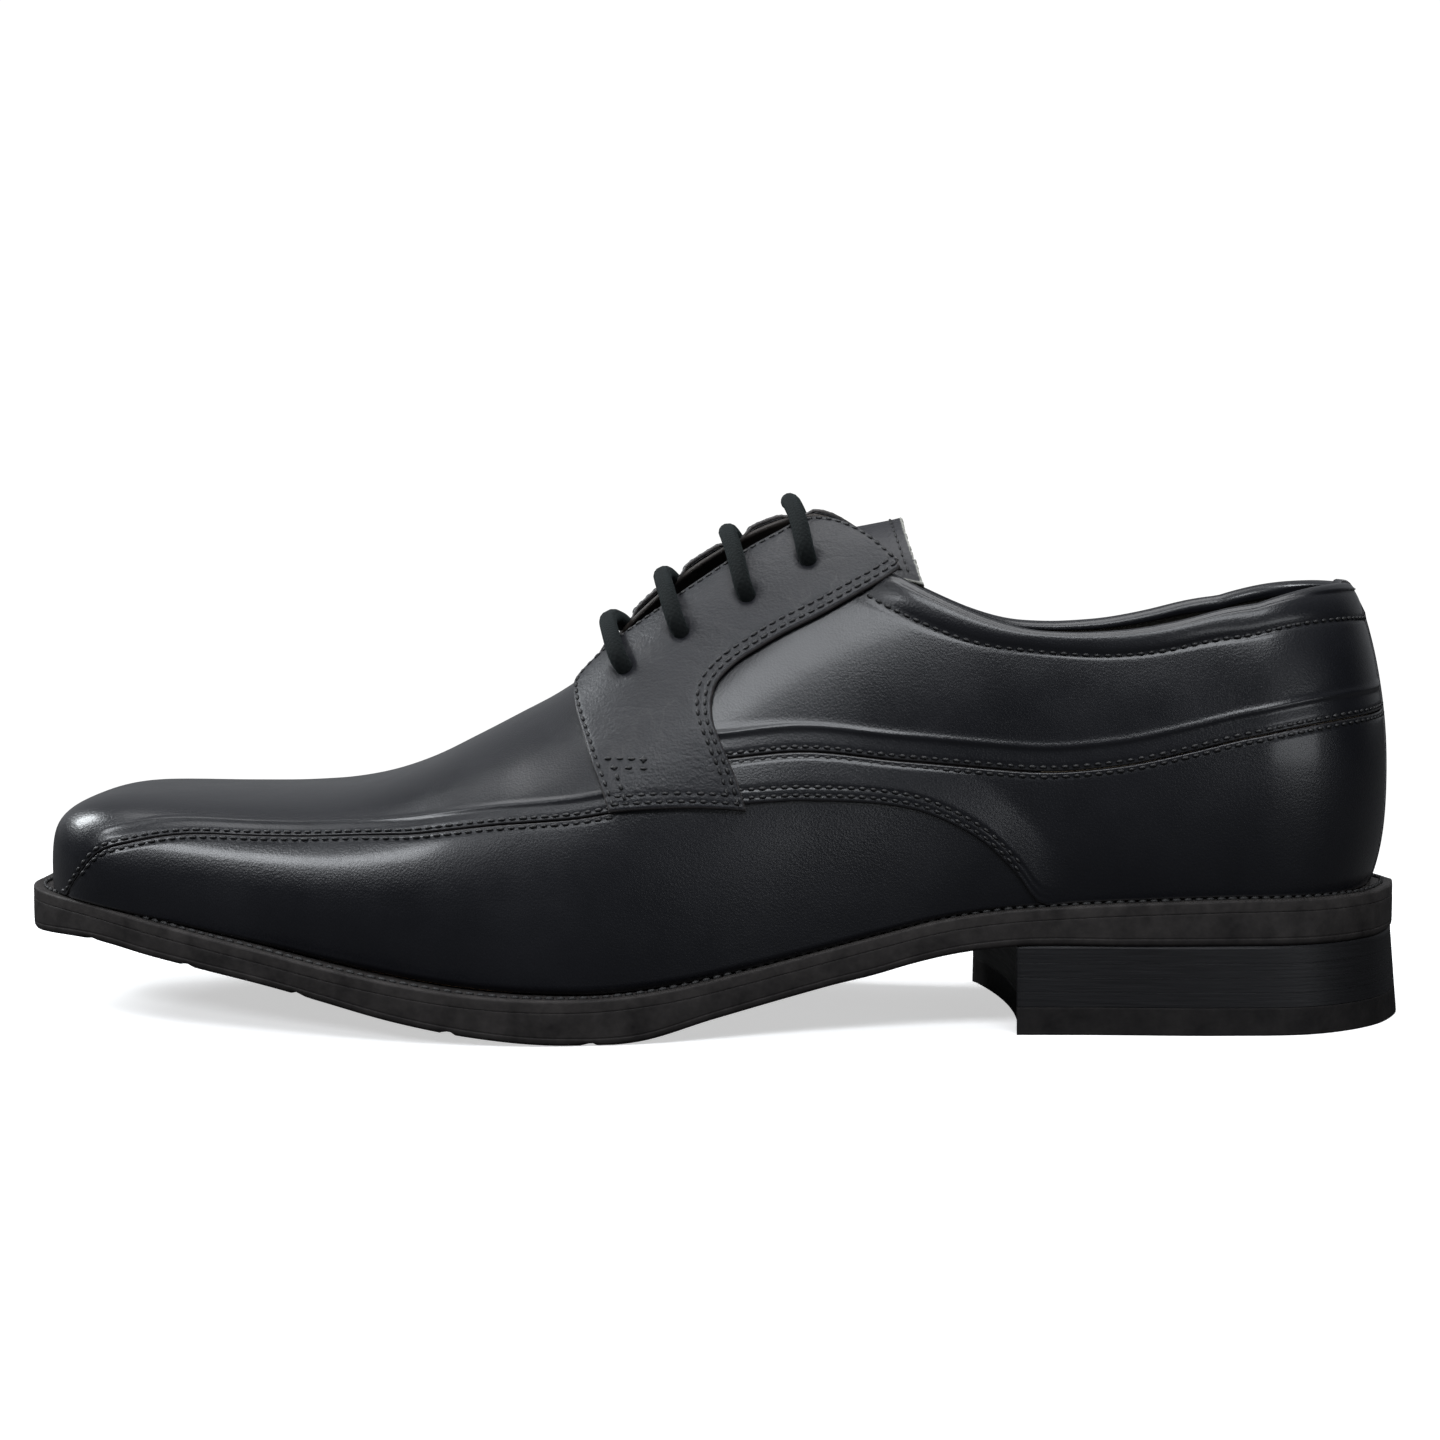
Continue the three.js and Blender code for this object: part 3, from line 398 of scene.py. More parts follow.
class Nodes:
    # a node tree with short ways to add to it
    def __init__(self, tree):
        self.tree = tree

    def add(self, kind, inputs=(), **settings):
        node = self.tree.nodes.new(kind)
        for key, value in settings.items():
            setattr(node, key, value)
        for key, value in dict(inputs).items():
            if isinstance(value, bpy.types.NodeSocket):
                self.tree.links.new(value, node.inputs[key])
            else:
                node.inputs[key].default_value = value
        return node

    def maths(self, operation, a, b=None, clampIt=False):
        values = {i: value for i, value in enumerate((a, b)) if value is not None}
        return self.add("ShaderNodeMath", values, operation=operation, use_clamp=clampIt).outputs[0]

    def chain(self, value, *steps):
        for operation, other in steps:
            value = self.maths(operation, value, other)
        return value

    def place(self):
        return self.add("ShaderNodeTexCoord").outputs["Object"]

    def noise(self, vector, scale, detail=2, rough=0.5, stretch=None):
        if stretch:
            vector = self.add("ShaderNodeMapping", {0: vector, "Scale": stretch}).outputs[0]
        return self.add("ShaderNodeTexNoise", {"Vector": vector, "Scale": scale, "Detail": detail,
                                               "Roughness": rough}).outputs["Fac"]

    def mix(self, factor, dark, light):
        colours = [(*c, 1) if isinstance(c, tuple) else c for c in (dark, light)]
        return self.add("ShaderNodeMix", {"Factor": factor, "A": colours[0], "B": colours[1]},
                        data_type="RGBA").outputs["Result"]

    def bump(self, shader, height, strength, distance):
        node = self.add("ShaderNodeBump", {"Strength": strength, "Distance": distance, "Height": height})
        self.tree.links.new(node.outputs[0], shader.inputs["Normal"])

    def set(self, shader, values):
        for key, value in values.items():
            if isinstance(value, bpy.types.NodeSocket):
                self.tree.links.new(value, shader.inputs[key])
            else:
                shader.inputs[key].default_value = value


def newGroup(name, kind, inputs, outputs):
    tree = bpy.data.node_groups.new(name, kind)
    made = {}
    for key, socketKind, value in inputs:
        made[key] = tree.interface.new_socket(name=key, in_out="INPUT", socket_type=socketKind)
        if value is not None:
            made[key].default_value = value
    for key, socketKind in outputs:
        tree.interface.new_socket(name=key, in_out="OUTPUT", socket_type=socketKind)
    return Nodes(tree), tree.nodes.new("NodeGroupInput"), tree.nodes.new("NodeGroupOutput"), made


def fadeFrom(nodes, value, power):
    # 1 where a noise is at its middle, falling off on both sides
    return nodes.chain(nodes.maths("ABSOLUTE", nodes.maths("SUBTRACT", value, 0.5)),
                       ("MULTIPLY", -2.0), ("ADD", 1.0), ("POWER", power))


def grainGroup():
    number = "NodeSocketFloat"
    nodes, start, end, _ = newGroup(
        "leatherGrain", "ShaderNodeTree",
        [("Grain Scale", number, 900.0), ("Grain Depth", number, 1.0), ("Crease Depth", number, 0.0),
         ("Edge Wear", number, 0.3)],
        [("Height", number), ("Mottle", number), ("Worn", number), ("Scuff", number)])
    given = start.outputs
    coords = nodes.place()
    cells = nodes.add("ShaderNodeTexVoronoi", {"Vector": coords, "Scale": given["Grain Scale"]}, feature="F1")
    fine = nodes.noise(coords, nodes.maths("MULTIPLY", given["Grain Scale"], 2.1), 3, 0.6)
    grain = nodes.maths("ADD", nodes.maths("MULTIPLY", cells.outputs["Distance"], 0.6),
                        nodes.maths("MULTIPLY", fine, 0.5))
    grain = nodes.maths("MULTIPLY", grain, given["Grain Depth"])
    crease = fadeFrom(nodes, nodes.noise(coords, 55, 4, 0.62, (1.0, 1.0, 2.2)), 6.0)
    crease = nodes.maths("MULTIPLY", crease, given["Crease Depth"])
    scratch = fadeFrom(nodes, nodes.noise(coords, 70, 3, 0.6, (1.6, 1.0, 0.7)), 40.0)
    patchy = nodes.maths("SUBTRACT", nodes.noise(coords, 90, 2, 0.5), 0.5)
    patchy = nodes.maths("MULTIPLY", patchy, 5.0, True)
    edge = nodes.add("ShaderNodeAttribute", attribute_name="edge").outputs["Fac"]
    near = nodes.maths("SUBTRACT", 1.0, nodes.maths("DIVIDE", edge, 0.55), True)
    worn = nodes.maths("MULTIPLY", near, nodes.noise(coords, 160, 3, 0.7))
    nodes.set(end, {"Height": nodes.maths("SUBTRACT", grain, crease), "Mottle": nodes.noise(coords, 38, 4, 0.6),
                    "Worn": nodes.maths("MULTIPLY", worn, given["Edge Wear"]),
                    "Scuff": nodes.maths("MULTIPLY", scratch, patchy)})
    return nodes.tree


leatherGrain = grainGroup()


def newMaterial(name):
    mat = bpy.data.materials.new(name)
    mat.use_nodes = True
    return mat, Nodes(mat.node_tree), mat.node_tree.nodes["Principled BSDF"]


def leather(name, dark, light, rough, grain, depth, crease=0.0, wear=0.0, bump=0.06, coat=0.0,
            worn=(0.12, 0.11, 0.105), scuff=0.0, gloss=0.42):
    mat, nodes, shader = newMaterial(name)
    group = nodes.add("ShaderNodeGroup", node_tree=leatherGrain)
    nodes.set(group, {"Grain Scale": grain, "Grain Depth": depth, "Crease Depth": crease, "Edge Wear": wear})
    made = group.outputs
    marks = nodes.maths("ADD", made["Worn"], nodes.maths("MULTIPLY", made["Scuff"], scuff), True)
    nodes.set(shader, {
        "Base Color": nodes.mix(marks, nodes.mix(made["Mottle"], dark, light), worn),
        "Roughness": nodes.maths("ADD", nodes.maths("MULTIPLY", made["Mottle"], 0.3), rough - 0.15),
        "Specular IOR Level": gloss, "Coat Weight": coat, "Coat Roughness": 0.16})
    nodes.bump(shader, made["Height"], 0.7, bump / 1000)
    return mat


materials = {
    "calf": leather("calf", (0.003, 0.0034, 0.005), (0.0075, 0.008, 0.011), 0.35, 2000, 1, 0.16, 0.4, 0.07,
                    coat=0.24),
    "facing": leather("facingCalf", (0.0035, 0.004, 0.006), (0.0085, 0.009, 0.0125), 0.46, 1500, 1, 0.8, 1,
                      0.13, scuff=0.16),
    "tongue": leather("tongueCalf", (0.006, 0.0065, 0.0085), (0.014, 0.014, 0.018), 0.48, 1150, 1.1, 0.5, 3,
                      0.13, worn=(0.34, 0.34, 0.31)),
    "lining": leather("liningLeather", (0.018, 0.014, 0.012), (0.032, 0.026, 0.022), 0.62, 900, 0.8, 0.2),
    "suede": leather("napLining", (0.014, 0.012, 0.011), (0.03, 0.026, 0.023), 0.95, 2600, 2.2, 0.3, bump=0.12),
    "stiffener": leather("stiffenerBoard", (0.34, 0.28, 0.19), (0.46, 0.39, 0.27), 0.8, 700, 1),
    "foam": leather("collarFoam", (0.2, 0.2, 0.18), (0.28, 0.28, 0.26), 0.95, 500, 3, bump=0.3),
    "board": leather("insoleBoard", (0.22, 0.13, 0.07), (0.3, 0.19, 0.1), 0.85, 600, 1),
    "cork": leather("corkFiller", (0.06, 0.03, 0.015), (0.22, 0.12, 0.06), 0.9, 250, 3, bump=0.3),
    "rubber": leather("topPieceRubber", (0.0016, 0.0016, 0.002), (0.0032, 0.0032, 0.004), 0.6, 900, 1.5, 0, 0.2,
                      gloss=0.08),
    "welt": leather("weltLeather", (0.0016, 0.0016, 0.002), (0.0034, 0.0034, 0.0044), 0.5, 800, 1.4, 0.2, 0.5,
                    gloss=0.06),
    "sole": leather("soleEdge", (0.0018, 0.0018, 0.0023), (0.0034, 0.0034, 0.0044), 0.5, 900, 0.8, 0.15, 0.4,
                    gloss=0.06),
}


def stackMaterial():
    # layered heel leather: thin level lines and waxed streaks along the edge
    mat, nodes, shader = newMaterial("stackedHeel")
    streak = nodes.noise(nodes.place(), 60, 4, 0.6, (1.0, 1.0, 26.0))
    nodes.set(shader, {"Base Color": nodes.mix(streak, (0.003, 0.003, 0.0036), (0.01, 0.01, 0.0115)),
                       "Roughness": nodes.chain(streak, ("MULTIPLY", 0.3), ("ADD", 0.34)),
                       "Specular IOR Level": 0.24})
    nodes.bump(shader, streak, 0.5, 0.0002)
    return mat


def threadMaterial(name, colour, rough):
    mat, nodes, shader = newMaterial(name)
    twist = nodes.noise(nodes.place(), 2600, 2, 0.5)
    dark, light = (tuple(c * k for c in colour) for k in (0.5, 1.5))
    nodes.set(shader, {"Base Color": nodes.mix(twist, dark, light), "Roughness": rough})
    nodes.bump(shader, twist, 0.6, 0.00008)
    return mat


def laceMaterial():
    # round braided cotton: crossing yarns from the tube's own map, with a soft fuzz
    mat, nodes, shader = newMaterial("braidedLace")
    lay = nodes.add("ShaderNodeUVMap", uv_map="lay").outputs[0]
    split = nodes.add("ShaderNodeSeparateXYZ", {0: lay}).outputs
    weave = [nodes.maths("SINE", nodes.maths("ADD", nodes.maths("MULTIPLY", split[0], 5200.0),
                                             nodes.maths("MULTIPLY", split[1], turns * 2 * math.pi)))
             for turns in (8, -8)]
    fuzz = nodes.noise(nodes.place(), 1700, 4, 0.75)
    height = nodes.maths("ADD", nodes.maths("MULTIPLY", nodes.maths("MAXIMUM", *weave), 0.5),
                         nodes.maths("MULTIPLY", fuzz, 1.1))
    nodes.set(shader, {"Base Color": nodes.mix(fuzz, (0.0008, 0.0013, 0.0014), (0.0034, 0.0054, 0.0057)),
                       "Roughness": 0.9, "Specular IOR Level": 0.2, "Sheen Weight": 0.035,
                       "Sheen Roughness": 0.5, "Sheen Tint": (0.5, 0.7, 0.72, 1)})
    nodes.bump(shader, height, 0.7, 0.00012)
    return mat


def steelMaterial():
    mat, nodes, shader = newMaterial("springSteel")
    brush = nodes.noise(nodes.place(), 300, 3, 0.6, (0.1, 3, 1))
    nodes.set(shader, {"Base Color": nodes.mix(brush, (0.3, 0.31, 0.33), (0.5, 0.52, 0.54)),
                       "Roughness": nodes.chain(brush, ("MULTIPLY", 0.25), ("ADD", 0.25)), "Metallic": 1})
    return mat


materials["stack"] = stackMaterial()
materials["thread"] = threadMaterial("blackThread", (0.004, 0.004, 0.0048), 0.5)
materials["weltThread"] = threadMaterial("weltThread", (0.006, 0.006, 0.0065), 0.65)
materials["lace"] = laceMaterial()
materials["tip"] = threadMaterial("laceTip", (0.008, 0.008, 0.009), 0.25)
materials["steel"] = steelMaterial()
print("stage: materials ready")


def dress(ob, material, body="root", nodes=()):
    ob.data.materials.clear()
    ob.data.materials.append(materials[material])
    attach(ob, body)
    if nodes:
        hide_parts(*nodes)
    return ob


sides = (("Lateral", "lateral", -1), ("Medial", "medial", 1))

laceSet = {"diameter": 4.0, "sides": 14, "step": 1.2, "facingTop": 1.6}


def laceRoute():
    half = laceSet["diameter"] / 2
    out = laceSet["facingTop"] + half - 0.2
    under = -1 - half - 0.4
    wall = -3.8 - half - 0.5

    def on(a, r, off):
        # the lace pulls the higher inner facing down
        held = lift(a, r) - 0.9 * (lift(a, r) - lift(a, -abs(r)))
        return upperPoint(a, r) + upperNormal(a, r) * (off + held)

    def inside(points):
        # the hidden ends lie on the sock
        return [np.array([x, y, weltTop(x) + 1.4 + half + 0.5 + up]) for x, y, up in points]

    def bar(k, start):
        # out of one hole, over the tongue, and into the hole across
        a, r = eyelets[k]
        rise = [(0, 1, -1.6), (0, 1, 0.6), (-0.2, 0.97, 2.7), (-0.6, 0.84, out + 0.1), (-1.4, 0.6, out),
                (-2.6, 0.28, out - 0.5)]
        fall = [(back, -share, off) for back, share, off in rise[::-1]]
        return [on(a + back, -start * r * share if share else 0.001, off)
                for back, share, off in rise + [(-3.2, 0, out - 0.9)] + fall]

    def hop(i, j, side, aside):
        # behind a facing, from one hole to another
        (a, r), (b, q) = eyelets[i], eyelets[j]
        d = math.copysign(3.5, b - a)

        def by(t):
            return a + (b - a) * t, side * (-(r + (q - r) * t) + aside * math.sin(math.pi * t))
        return [on(a + d, by(0.12)[1], under - 0.4), on(*by(0.35), under - 0.1), on(*by(0.65), under - 0.1),
                on(b - d, by(0.88)[1], under - 0.4)]

    four, three = eyelets[3], eyelets[2]
    tailA = inside([(-56, 27, 1.5), (-66, 25, 0.5), (-70, 18, 0), (-67, 10, 0), (-57, 9, 0), (-47, 12, 0),
                    (-36, 20, 0), (-14, 19, 0), (6, 17, 0)])
    downA = [(22, 0.86, wall), (27, 0.7, wall), (30, 0.55, wall), (30, 0.42, wall), (29, 0.36, wall - 0.2),
             (26.8, 0.28, under - 1.4), (25, 0.25, under), (four[0] + 1.2, -four[1] + 0.05, under)]
    downB = [(three[0] + 1.2, -three[1] + 0.05, under), (10.8, 0.255, under), (11, 0.3, under - 1.4),
             (11.5, 0.37, wall - 0.2), (11, 0.45, wall), (8, 0.6, wall), (2, 0.76, wall), (-7, 0.88, wall)]
    tailB = inside([(-20, 26, 6), (-34, 15, 5.5), (-46, 2, 4.5), (-60, -8, 0), (-70, -7, 0), (-77, -11, 0),
                    (-74, -19, 0), (-66, -21, 1)])
    return (tailA + [on(*p) for p in downA] + bar(3, 1) + hop(3, 1, -1, -0.055) + bar(1, -1) + hop(1, 0, 1, 0)
            + bar(0, 1) + hop(0, 2, -1, 0.04) + bar(2, -1) + [on(*p) for p in downB] + tailB)


def tubeMesh(name, path, radius, count):
    # a closed round tube along a path, with its own map: length along, turn round
    s = lengths(path)
    tangent = np.gradient(path, axis=0)
    tangent /= np.linalg.norm(tangent, axis=1, keepdims=True)
    normal = np.cross(tangent[0], [0.3, 0.9, 0.2])
    turns = [2 * math.pi * j / count for j in range(count)]
    points, faces, uvs = [], [], []
    for place, t in zip(path, tangent):
        normal = normal - t * normal.dot(t)
        normal /= np.linalg.norm(normal)
        across = np.cross(t, normal)
        points += [place + radius * (math.cos(w) * normal + math.sin(w) * across) for w in turns]
    final = (len(path) - 1) * count
    for i in range(len(path) - 1):
        for j in range(count):
            k = (j + 1) % count
            faces.append((i * count + j, i * count + k, (i + 1) * count + k, (i + 1) * count + j))
            uvs += [(s[i], j / count), (s[i], (j + 1) / count), (s[i + 1], (j + 1) / count),
                    (s[i + 1], j / count)]
    n = len(points)
    points += [path[0], path[-1]]
    for j in range(count):
        k = (j + 1) % count
        faces += [(n, k, j), (n + 1, final + j, final + k)]
        uvs += [(0, 0)] * 6
    ob = makeMesh(name, points, faces)
    ob.data.uv_layers.new(name="lay").data.foreach_set("uv", np.array(uvs, np.float32).ravel())
    return ob


route = splineThrough(laceRoute(), 16)
routeLength = lengths(route)
even = np.linspace(0, routeLength[-1], int(routeLength[-1] / laceSet["step"]))
lacePath = toWorld(np.stack([np.interp(even, routeLength, route[:, k]) for k in range(3)], 1))
lace = tubeMesh("shoeLace", lacePath, laceSet["diameter"] / 2000, laceSet["sides"])
dress(lace, "lace", "root", ["lace"])
print("stage: lace laid,", round(float(routeLength[-1])), "mm")

# sole, welt and heel, as loops round the sole's outline
outlineOut = [[-155, 4], [-154.6, -6], [-151, -15], [-142, -24], [-125, -33], [-100, -42], [-70, -50], [-40, -53],
              [-10, -49], [20, -41], [50, -36], [80, -34.6], [110, -34.6], [130, -32], [144, -22], [151.4, -9],
              [153.6, 0]]
outlineIn = [[-155, 4], [-154.6, 14], [-149, 25], [-136, 33.5], [-112, 43], [-86, 49], [-60, 50], [-36, 45],
             [-10, 36], [20, 29], [50, 27.6], [80, 30], [110, 33], [130, 31], [144, 22], [151.4, 9], [153.6, 0]]
soleUnder = smoothCurve(
    [-156, -135, -121, -111, -89, -81, -66, -48, -30, -14, 1, 9, 19, 27, 36, 44, 53, 64, 90, 156],
    [18, 18, 15.5, 13.8, 9.8, 8, 4.5, 1.5, 0, 0.5, 4.5, 6.5, 9, 11, 13, 15.2, 17.2, 18.6, 18.9, 19.3])


class Edge:
    # one side of the sole's outline by share of its length, moved inwards by an inset
    def __init__(self, points, side):
        p = splineThrough(points)
        s = lengths(p)
        shares = np.linspace(0, s[-1], 700)
        self.p = np.stack([np.interp(shares, s, p[:, 0]), np.interp(shares, s, p[:, 1])], 1)
        t = np.gradient(self.p, axis=0)
        t /= np.linalg.norm(t, axis=1, keepdims=True)
        self.n = np.stack([side * t[:, 1], -side * t[:, 0]], 1)
        self.n[0], self.n[-1] = (1, 0), (-1, 0)

    def at(self, u, inset):
        k = np.clip(u, 0, 1) * (len(self.p) - 1)
        grid = np.arange(len(self.p))
        p, n = (np.stack([np.interp(k, grid, rows[:, i]) for i in (0, 1)], -1) for rows in (self.p, self.n))
        return p + n / np.linalg.norm(n, axis=-1, keepdims=True) * inset

    def where(self, x):
        return float(np.interp(x, self.p[:, 0], np.linspace(0, 1, len(self.p))))


outerSide, innerSide = Edge(outlineOut, -1), Edge(outlineIn, 1)


def loopAt(inset, count):
    t = np.arange(count) / count
    return np.where((t < 0.5)[:, None], outerSide.at(t * 2, inset), innerSide.at(2 - t * 2, inset))


def bands(rings, count, closed=False):
    # faces between rings of points that follow each other
    return [(k * count + i, (k + 1) % rings * count + i, (k + 1) % rings * count + (i + 1) % count,
             k * count + (i + 1) % count) for k in range(rings - (not closed)) for i in range(count)]


def above(height):
    return lambda x: weltTop(x) + height


def under(height):
    return lambda x: soleUnder(x) + height


soleSet = {"notches": [-136, -112.5, -86.5, -54, -24.5], "notchDepth": 0.9, "count": 400, "cols": 26,
           "weltCount": 360, "stitchInset": 2.6}
weltProfile = [(9, -2.6), (9, -0.1), (3.6, 0), (2.6, -0.25), (1.7, 0), (0.6, 0), (0.25, -0.12), (0.05, -0.45),
               (0.03, -0.65), (0.02, -2.3), (0.04, -2.56), (0.1, -2.65)]  # inset, height from the welt's top


def buildWelt():
    rings = []
    for inset, height in weltProfile:
        p = loopAt(inset, soleSet["weltCount"])
        rings.append(np.column_stack([p, weltTop(p[:, 0]) + height]))
    ob = makeMesh("stitchedWelt", toWorld(np.vstack(rings)), bands(len(rings), soleSet["weltCount"], True))
    dress(cleanMesh(ob, True), "welt", "root", ["welt"])
    loop = loopAt(soleSet["stitchInset"], 720)
    line = toWorld(np.column_stack([loop, weltTop(loop[:, 0]) + 0.05]))
    stitchLines["welt"].append(np.vstack([line, line[:1]]))


def tread(height):
    def at(x):
        z = np.maximum(soleUnder(x), 0) + height
        return z + sum(soleSet["notchDepth"] * np.exp(-(x - n) ** 4) for n in soleSet["notches"])
    return at


def buildSole():
    # the edge is a profile swept round; the tread and the top are filled between their two sides
    count, cols = soleSet["count"], soleSet["cols"]
    top = above(-2.7)
    profile = [(9, top), (0.1, top), (0.05, above(-2.76)), (0.02, above(-2.9)), (0.0, above(-3.3)),
               (0.0, under(2.1)), (0.02, under(1.9)), (0.2, under(1.75)), (0.02, under(1.6)), (0.02, under(1.4)),
               (0.1, under(0.8)), (0.5, tread(0.2)), (1.4, tread(0.0)), (5, tread(0.0))]
    points = []
    for inset, height in profile:
        p = loopAt(inset, count)
        z = np.minimum(height(p[:, 0]), top(p[:, 0]))
        points += list(np.column_stack([p, np.maximum(z, 0)]))
    faces = bands(len(profile), count)
    half = count // 2
    for ring in (0, len(profile) - 1):
        rows = []
        for i in range(half + 1):
            a, b = ring * count + i, ring * count + (count - i) % count
            row = [a]
            if 0 < i < half:
                for c in range(1, cols):
                    p = points[a] + (points[b] - points[a]) * c / cols
                    row.append(len(points))
                    points.append(np.array([p[0], p[1], max(float(profile[ring][1](p[0])), 0.0)]))
                row.append(b)
            rows.append(row)
        for r, q in zip(rows, rows[1:]):
            if len(r) == 1:
                faces += [(r[0], q[c + 1], q[c]) for c in range(cols)]
            elif len(q) == 1:
                faces += [(r[c], r[c + 1], q[0]) for c in range(cols)]
            else:
                faces += [(r[c], r[c + 1], q[c + 1], q[c]) for c in range(cols)]
    ob = makeMesh("outSole", toWorld(np.array(points)), faces)
    dress(cleanMesh(ob, True), "sole", "root", ["outsole"])


heelSet = {"breast": 66.3, "breastIn": 61.0, "breastHollow": 3.5, "pitch": 3.12, "rubber": 6.0, "gap": 0.02,
           "flare": 1.65, "height": 19, "sideCount": 110, "frontCount": 32}


def heelSlice(name, low, high, soft, meetsSole=False):
    # one layer of the heel; soft rounds its edges
    def ring(z, extra, follow=False):
        inset = 0.35 - (1 - z / heelSet["height"]) * heelSet["flare"] + extra
        t = np.linspace(0, 1, heelSet["sideCount"])
        start, startIn = outerSide.where(heelSet["breast"]), innerSide.where(heelSet["breastIn"])
        outer = outerSide.at(start + (1 - start) * t, inset)
        inner = innerSide.at(startIn + (1 - startIn) * t, inset)[::-1]
        s = np.linspace(0, 1, heelSet["frontCount"])[1:-1][:, None]
        front = inner[-1] * (1 - s) + outer[0] * s
        front[:, 0] += 4 * heelSet["breastHollow"] * s[:, 0] * (1 - s[:, 0]) + extra
        loop = np.vstack([outer, inner[1:], front])
        return np.column_stack([loop, soleUnder(loop[:, 0]) - heelSet["gap"] if follow else np.full(len(loop), z)])
    rings = [ring(low, soft), ring(low + soft * 0.35, soft * 0.3), ring(low + soft, 0), ring(low + soft * 2.5, 0),
             ring((low + high) / 2, 0), ring(high - soft * 2.5, 0), ring(high - soft, 0),
             ring(high - soft * 0.35, soft * 0.3), ring(high, soft, meetsSole)]
    n = len(rings[0])
    points = list(np.vstack(rings))
    faces = bands(len(rings), n)
    for k in (0, len(rings) - 1):
        centre = rings[k].mean(axis=0)
        previous = list(range(k * n, k * n + n))
        for share in (0.94, 0.6, 0.25):
            inwards = centre + (rings[k] - centre) * share
            if meetsSole and k:
                inwards[:, 2] = soleUnder(inwards[:, 0]) - heelSet["gap"]
            ids = list(range(len(points), len(points) + n))
            points += list(inwards)
            faces += [(previous[i], previous[(i + 1) % n], ids[(i + 1) % n], ids[i]) for i in range(n)]
            previous = ids
        faces += [(previous[i], previous[(i + 1) % n], len(points)) for i in range(n)]
        points.append(centre)
    return cleanMesh(makeMesh(name, toWorld(np.array(points)), faces), True)


buildWelt()
buildSole()
for i in range(4):
    low = heelSet["rubber"] + 0.03 + i * heelSet["pitch"]
    piece = heelSlice(f"heelLayer{4 - i}", low, low + heelSet["pitch"] - heelSet["gap"], 0.035, i == 3)
    dress(piece, "stack", "root", [f"heel_lift_{4 - i}"])
dress(heelSlice("heelTopPiece", 0.0, heelSet["rubber"], 0.22), "rubber", "root", ["heel_top_piece"])
print("stage: sole, welt and heel")

upperSet = {"leather": 1.0, "rolledLeather": 0.9, "row": 0.95, "seamGap": 0.0012, "rollWidth": 9.0,
            "lapRows": (1.3, 3.05), "stripRidge": 5.3}
seamFoot = (frontSeam[0][0] - 5.5, -1.0)
firstAlong = seamFoot[0]
gap = upperSet["seamGap"]


def seamFunction(points):
    pts = splineThrough([(a, r * 100) for a, r in points])
    keep = [0]
    for i in range(1, len(pts)):
        if pts[i, 0] > pts[keep[-1], 0] + 0.3:
            keep.append(i)
    return smoothCurve(pts[keep, 0], pts[keep, 1] / 100)


bodySeam = seamFunction([seamFoot] + frontSeam + sideSeam)


def seamEdge(distance):
    return roundedEdge(distance, 0.55, 0.5) + groove(distance, upperSet["row"])


def apronPlace(u, v):
    u, v = np.broadcast_arrays(np.asarray(u, float), np.asarray(v, float))
    c = 2 * v - 1
    rear = -26 + 10.5 * np.clip(np.abs(c), 0, 1) ** 1.5
    along = last["toeStart"] + (rear - last["toeStart"]) * u
    return along, c * np.where(along <= firstAlong, 1.0, np.minimum(-bodySeam(along), 1) - gap)


def buildApron():
    # along-lines follow the shoe, cross-lines gather towards both seams
    uLines = np.concatenate([np.linspace(0, 0.3, 46, endpoint=False), np.linspace(0.3, 1, 74)])
    grid = layGrid(apronPlace, (2.2, 2.2), "vV", uLines, 34, 161)
    a, d = grid["a"], np.minimum(grid["low"], grid["high"])
    fade = np.clip((a - firstAlong) / 3, 0, 1)
    ridgeFade = np.clip((a - firstAlong - 8) / 12, 0, 1)
    points = offUpper(a, grid["r"], fade * seamEdge(d) + ridgeFade * ridge(d))
    ob = sheet("vampApron", points, np.where(fade > 0, d, 5), upperSet["leather"])
    dress(ob, "calf", "root", ["vamp_apron"])


def vampSidePlace(u, v):
    u, v = np.broadcast_arrays(np.asarray(u, float), np.asarray(v, float))
    along = firstAlong + 0.1 + (sideSeam[-1][0] + 4 - firstAlong) * u
    top = np.minimum(np.maximum(bodySeam(along) - gap, -0.9996), 0)
    lap = np.where(along > -18, 0.02 + 0.05 * easeUp((along - 55) / 15), 0)  # runs on under the quarter
    return along, -1 + (top + lap + 1) * v


def shifted(points, by):
    return [(a, r + by) for a, r in points]


lowerEdge = Seam(sideSeam[:-1] + [(sideSeam[-1][0] + 2.4, -1), (95, -1), (130, -1), (backSeam, -1)])
stripLow = Seam(shifted(stripSeam + [(backSeam, backStrip)], -gap))
stripHigh = Seam(shifted(stripSeam + [(backSeam, backStrip)], gap))
topEdge = Seam(topLine + [(backSeam, backTop)])
lowerPlace = patch(lowerEdge, stripLow, Seam([lowerEdge.at(0), stripLow.at(0)]),
                   Seam([(backSeam, -1), (backSeam, backStrip - gap)]))
upperPlace = patch(stripHigh, topEdge, Seam([stripHigh.at(0)] + innerEdge[1:-1] + [topLine[0]]),
                   Seam([(backSeam, backStrip + gap), (backSeam, backTop)]))


def collarOff(distance, along):
    # the padded roll along the topline, sewn down below it, flatter at the back
    t = np.clip(distance / upperSet["rollWidth"], 0, 1)
    slim = 1 - 0.75 * easeUp((np.asarray(along) - 118) / 34)
    roll = 1.3 * np.sin(math.pi * t) ** 0.75 * (1 - 0.25 * t) + 0.3 * (1 - t)
    return slim * roll - (1 - slim) * 1.6 * (1 - t) ** 3


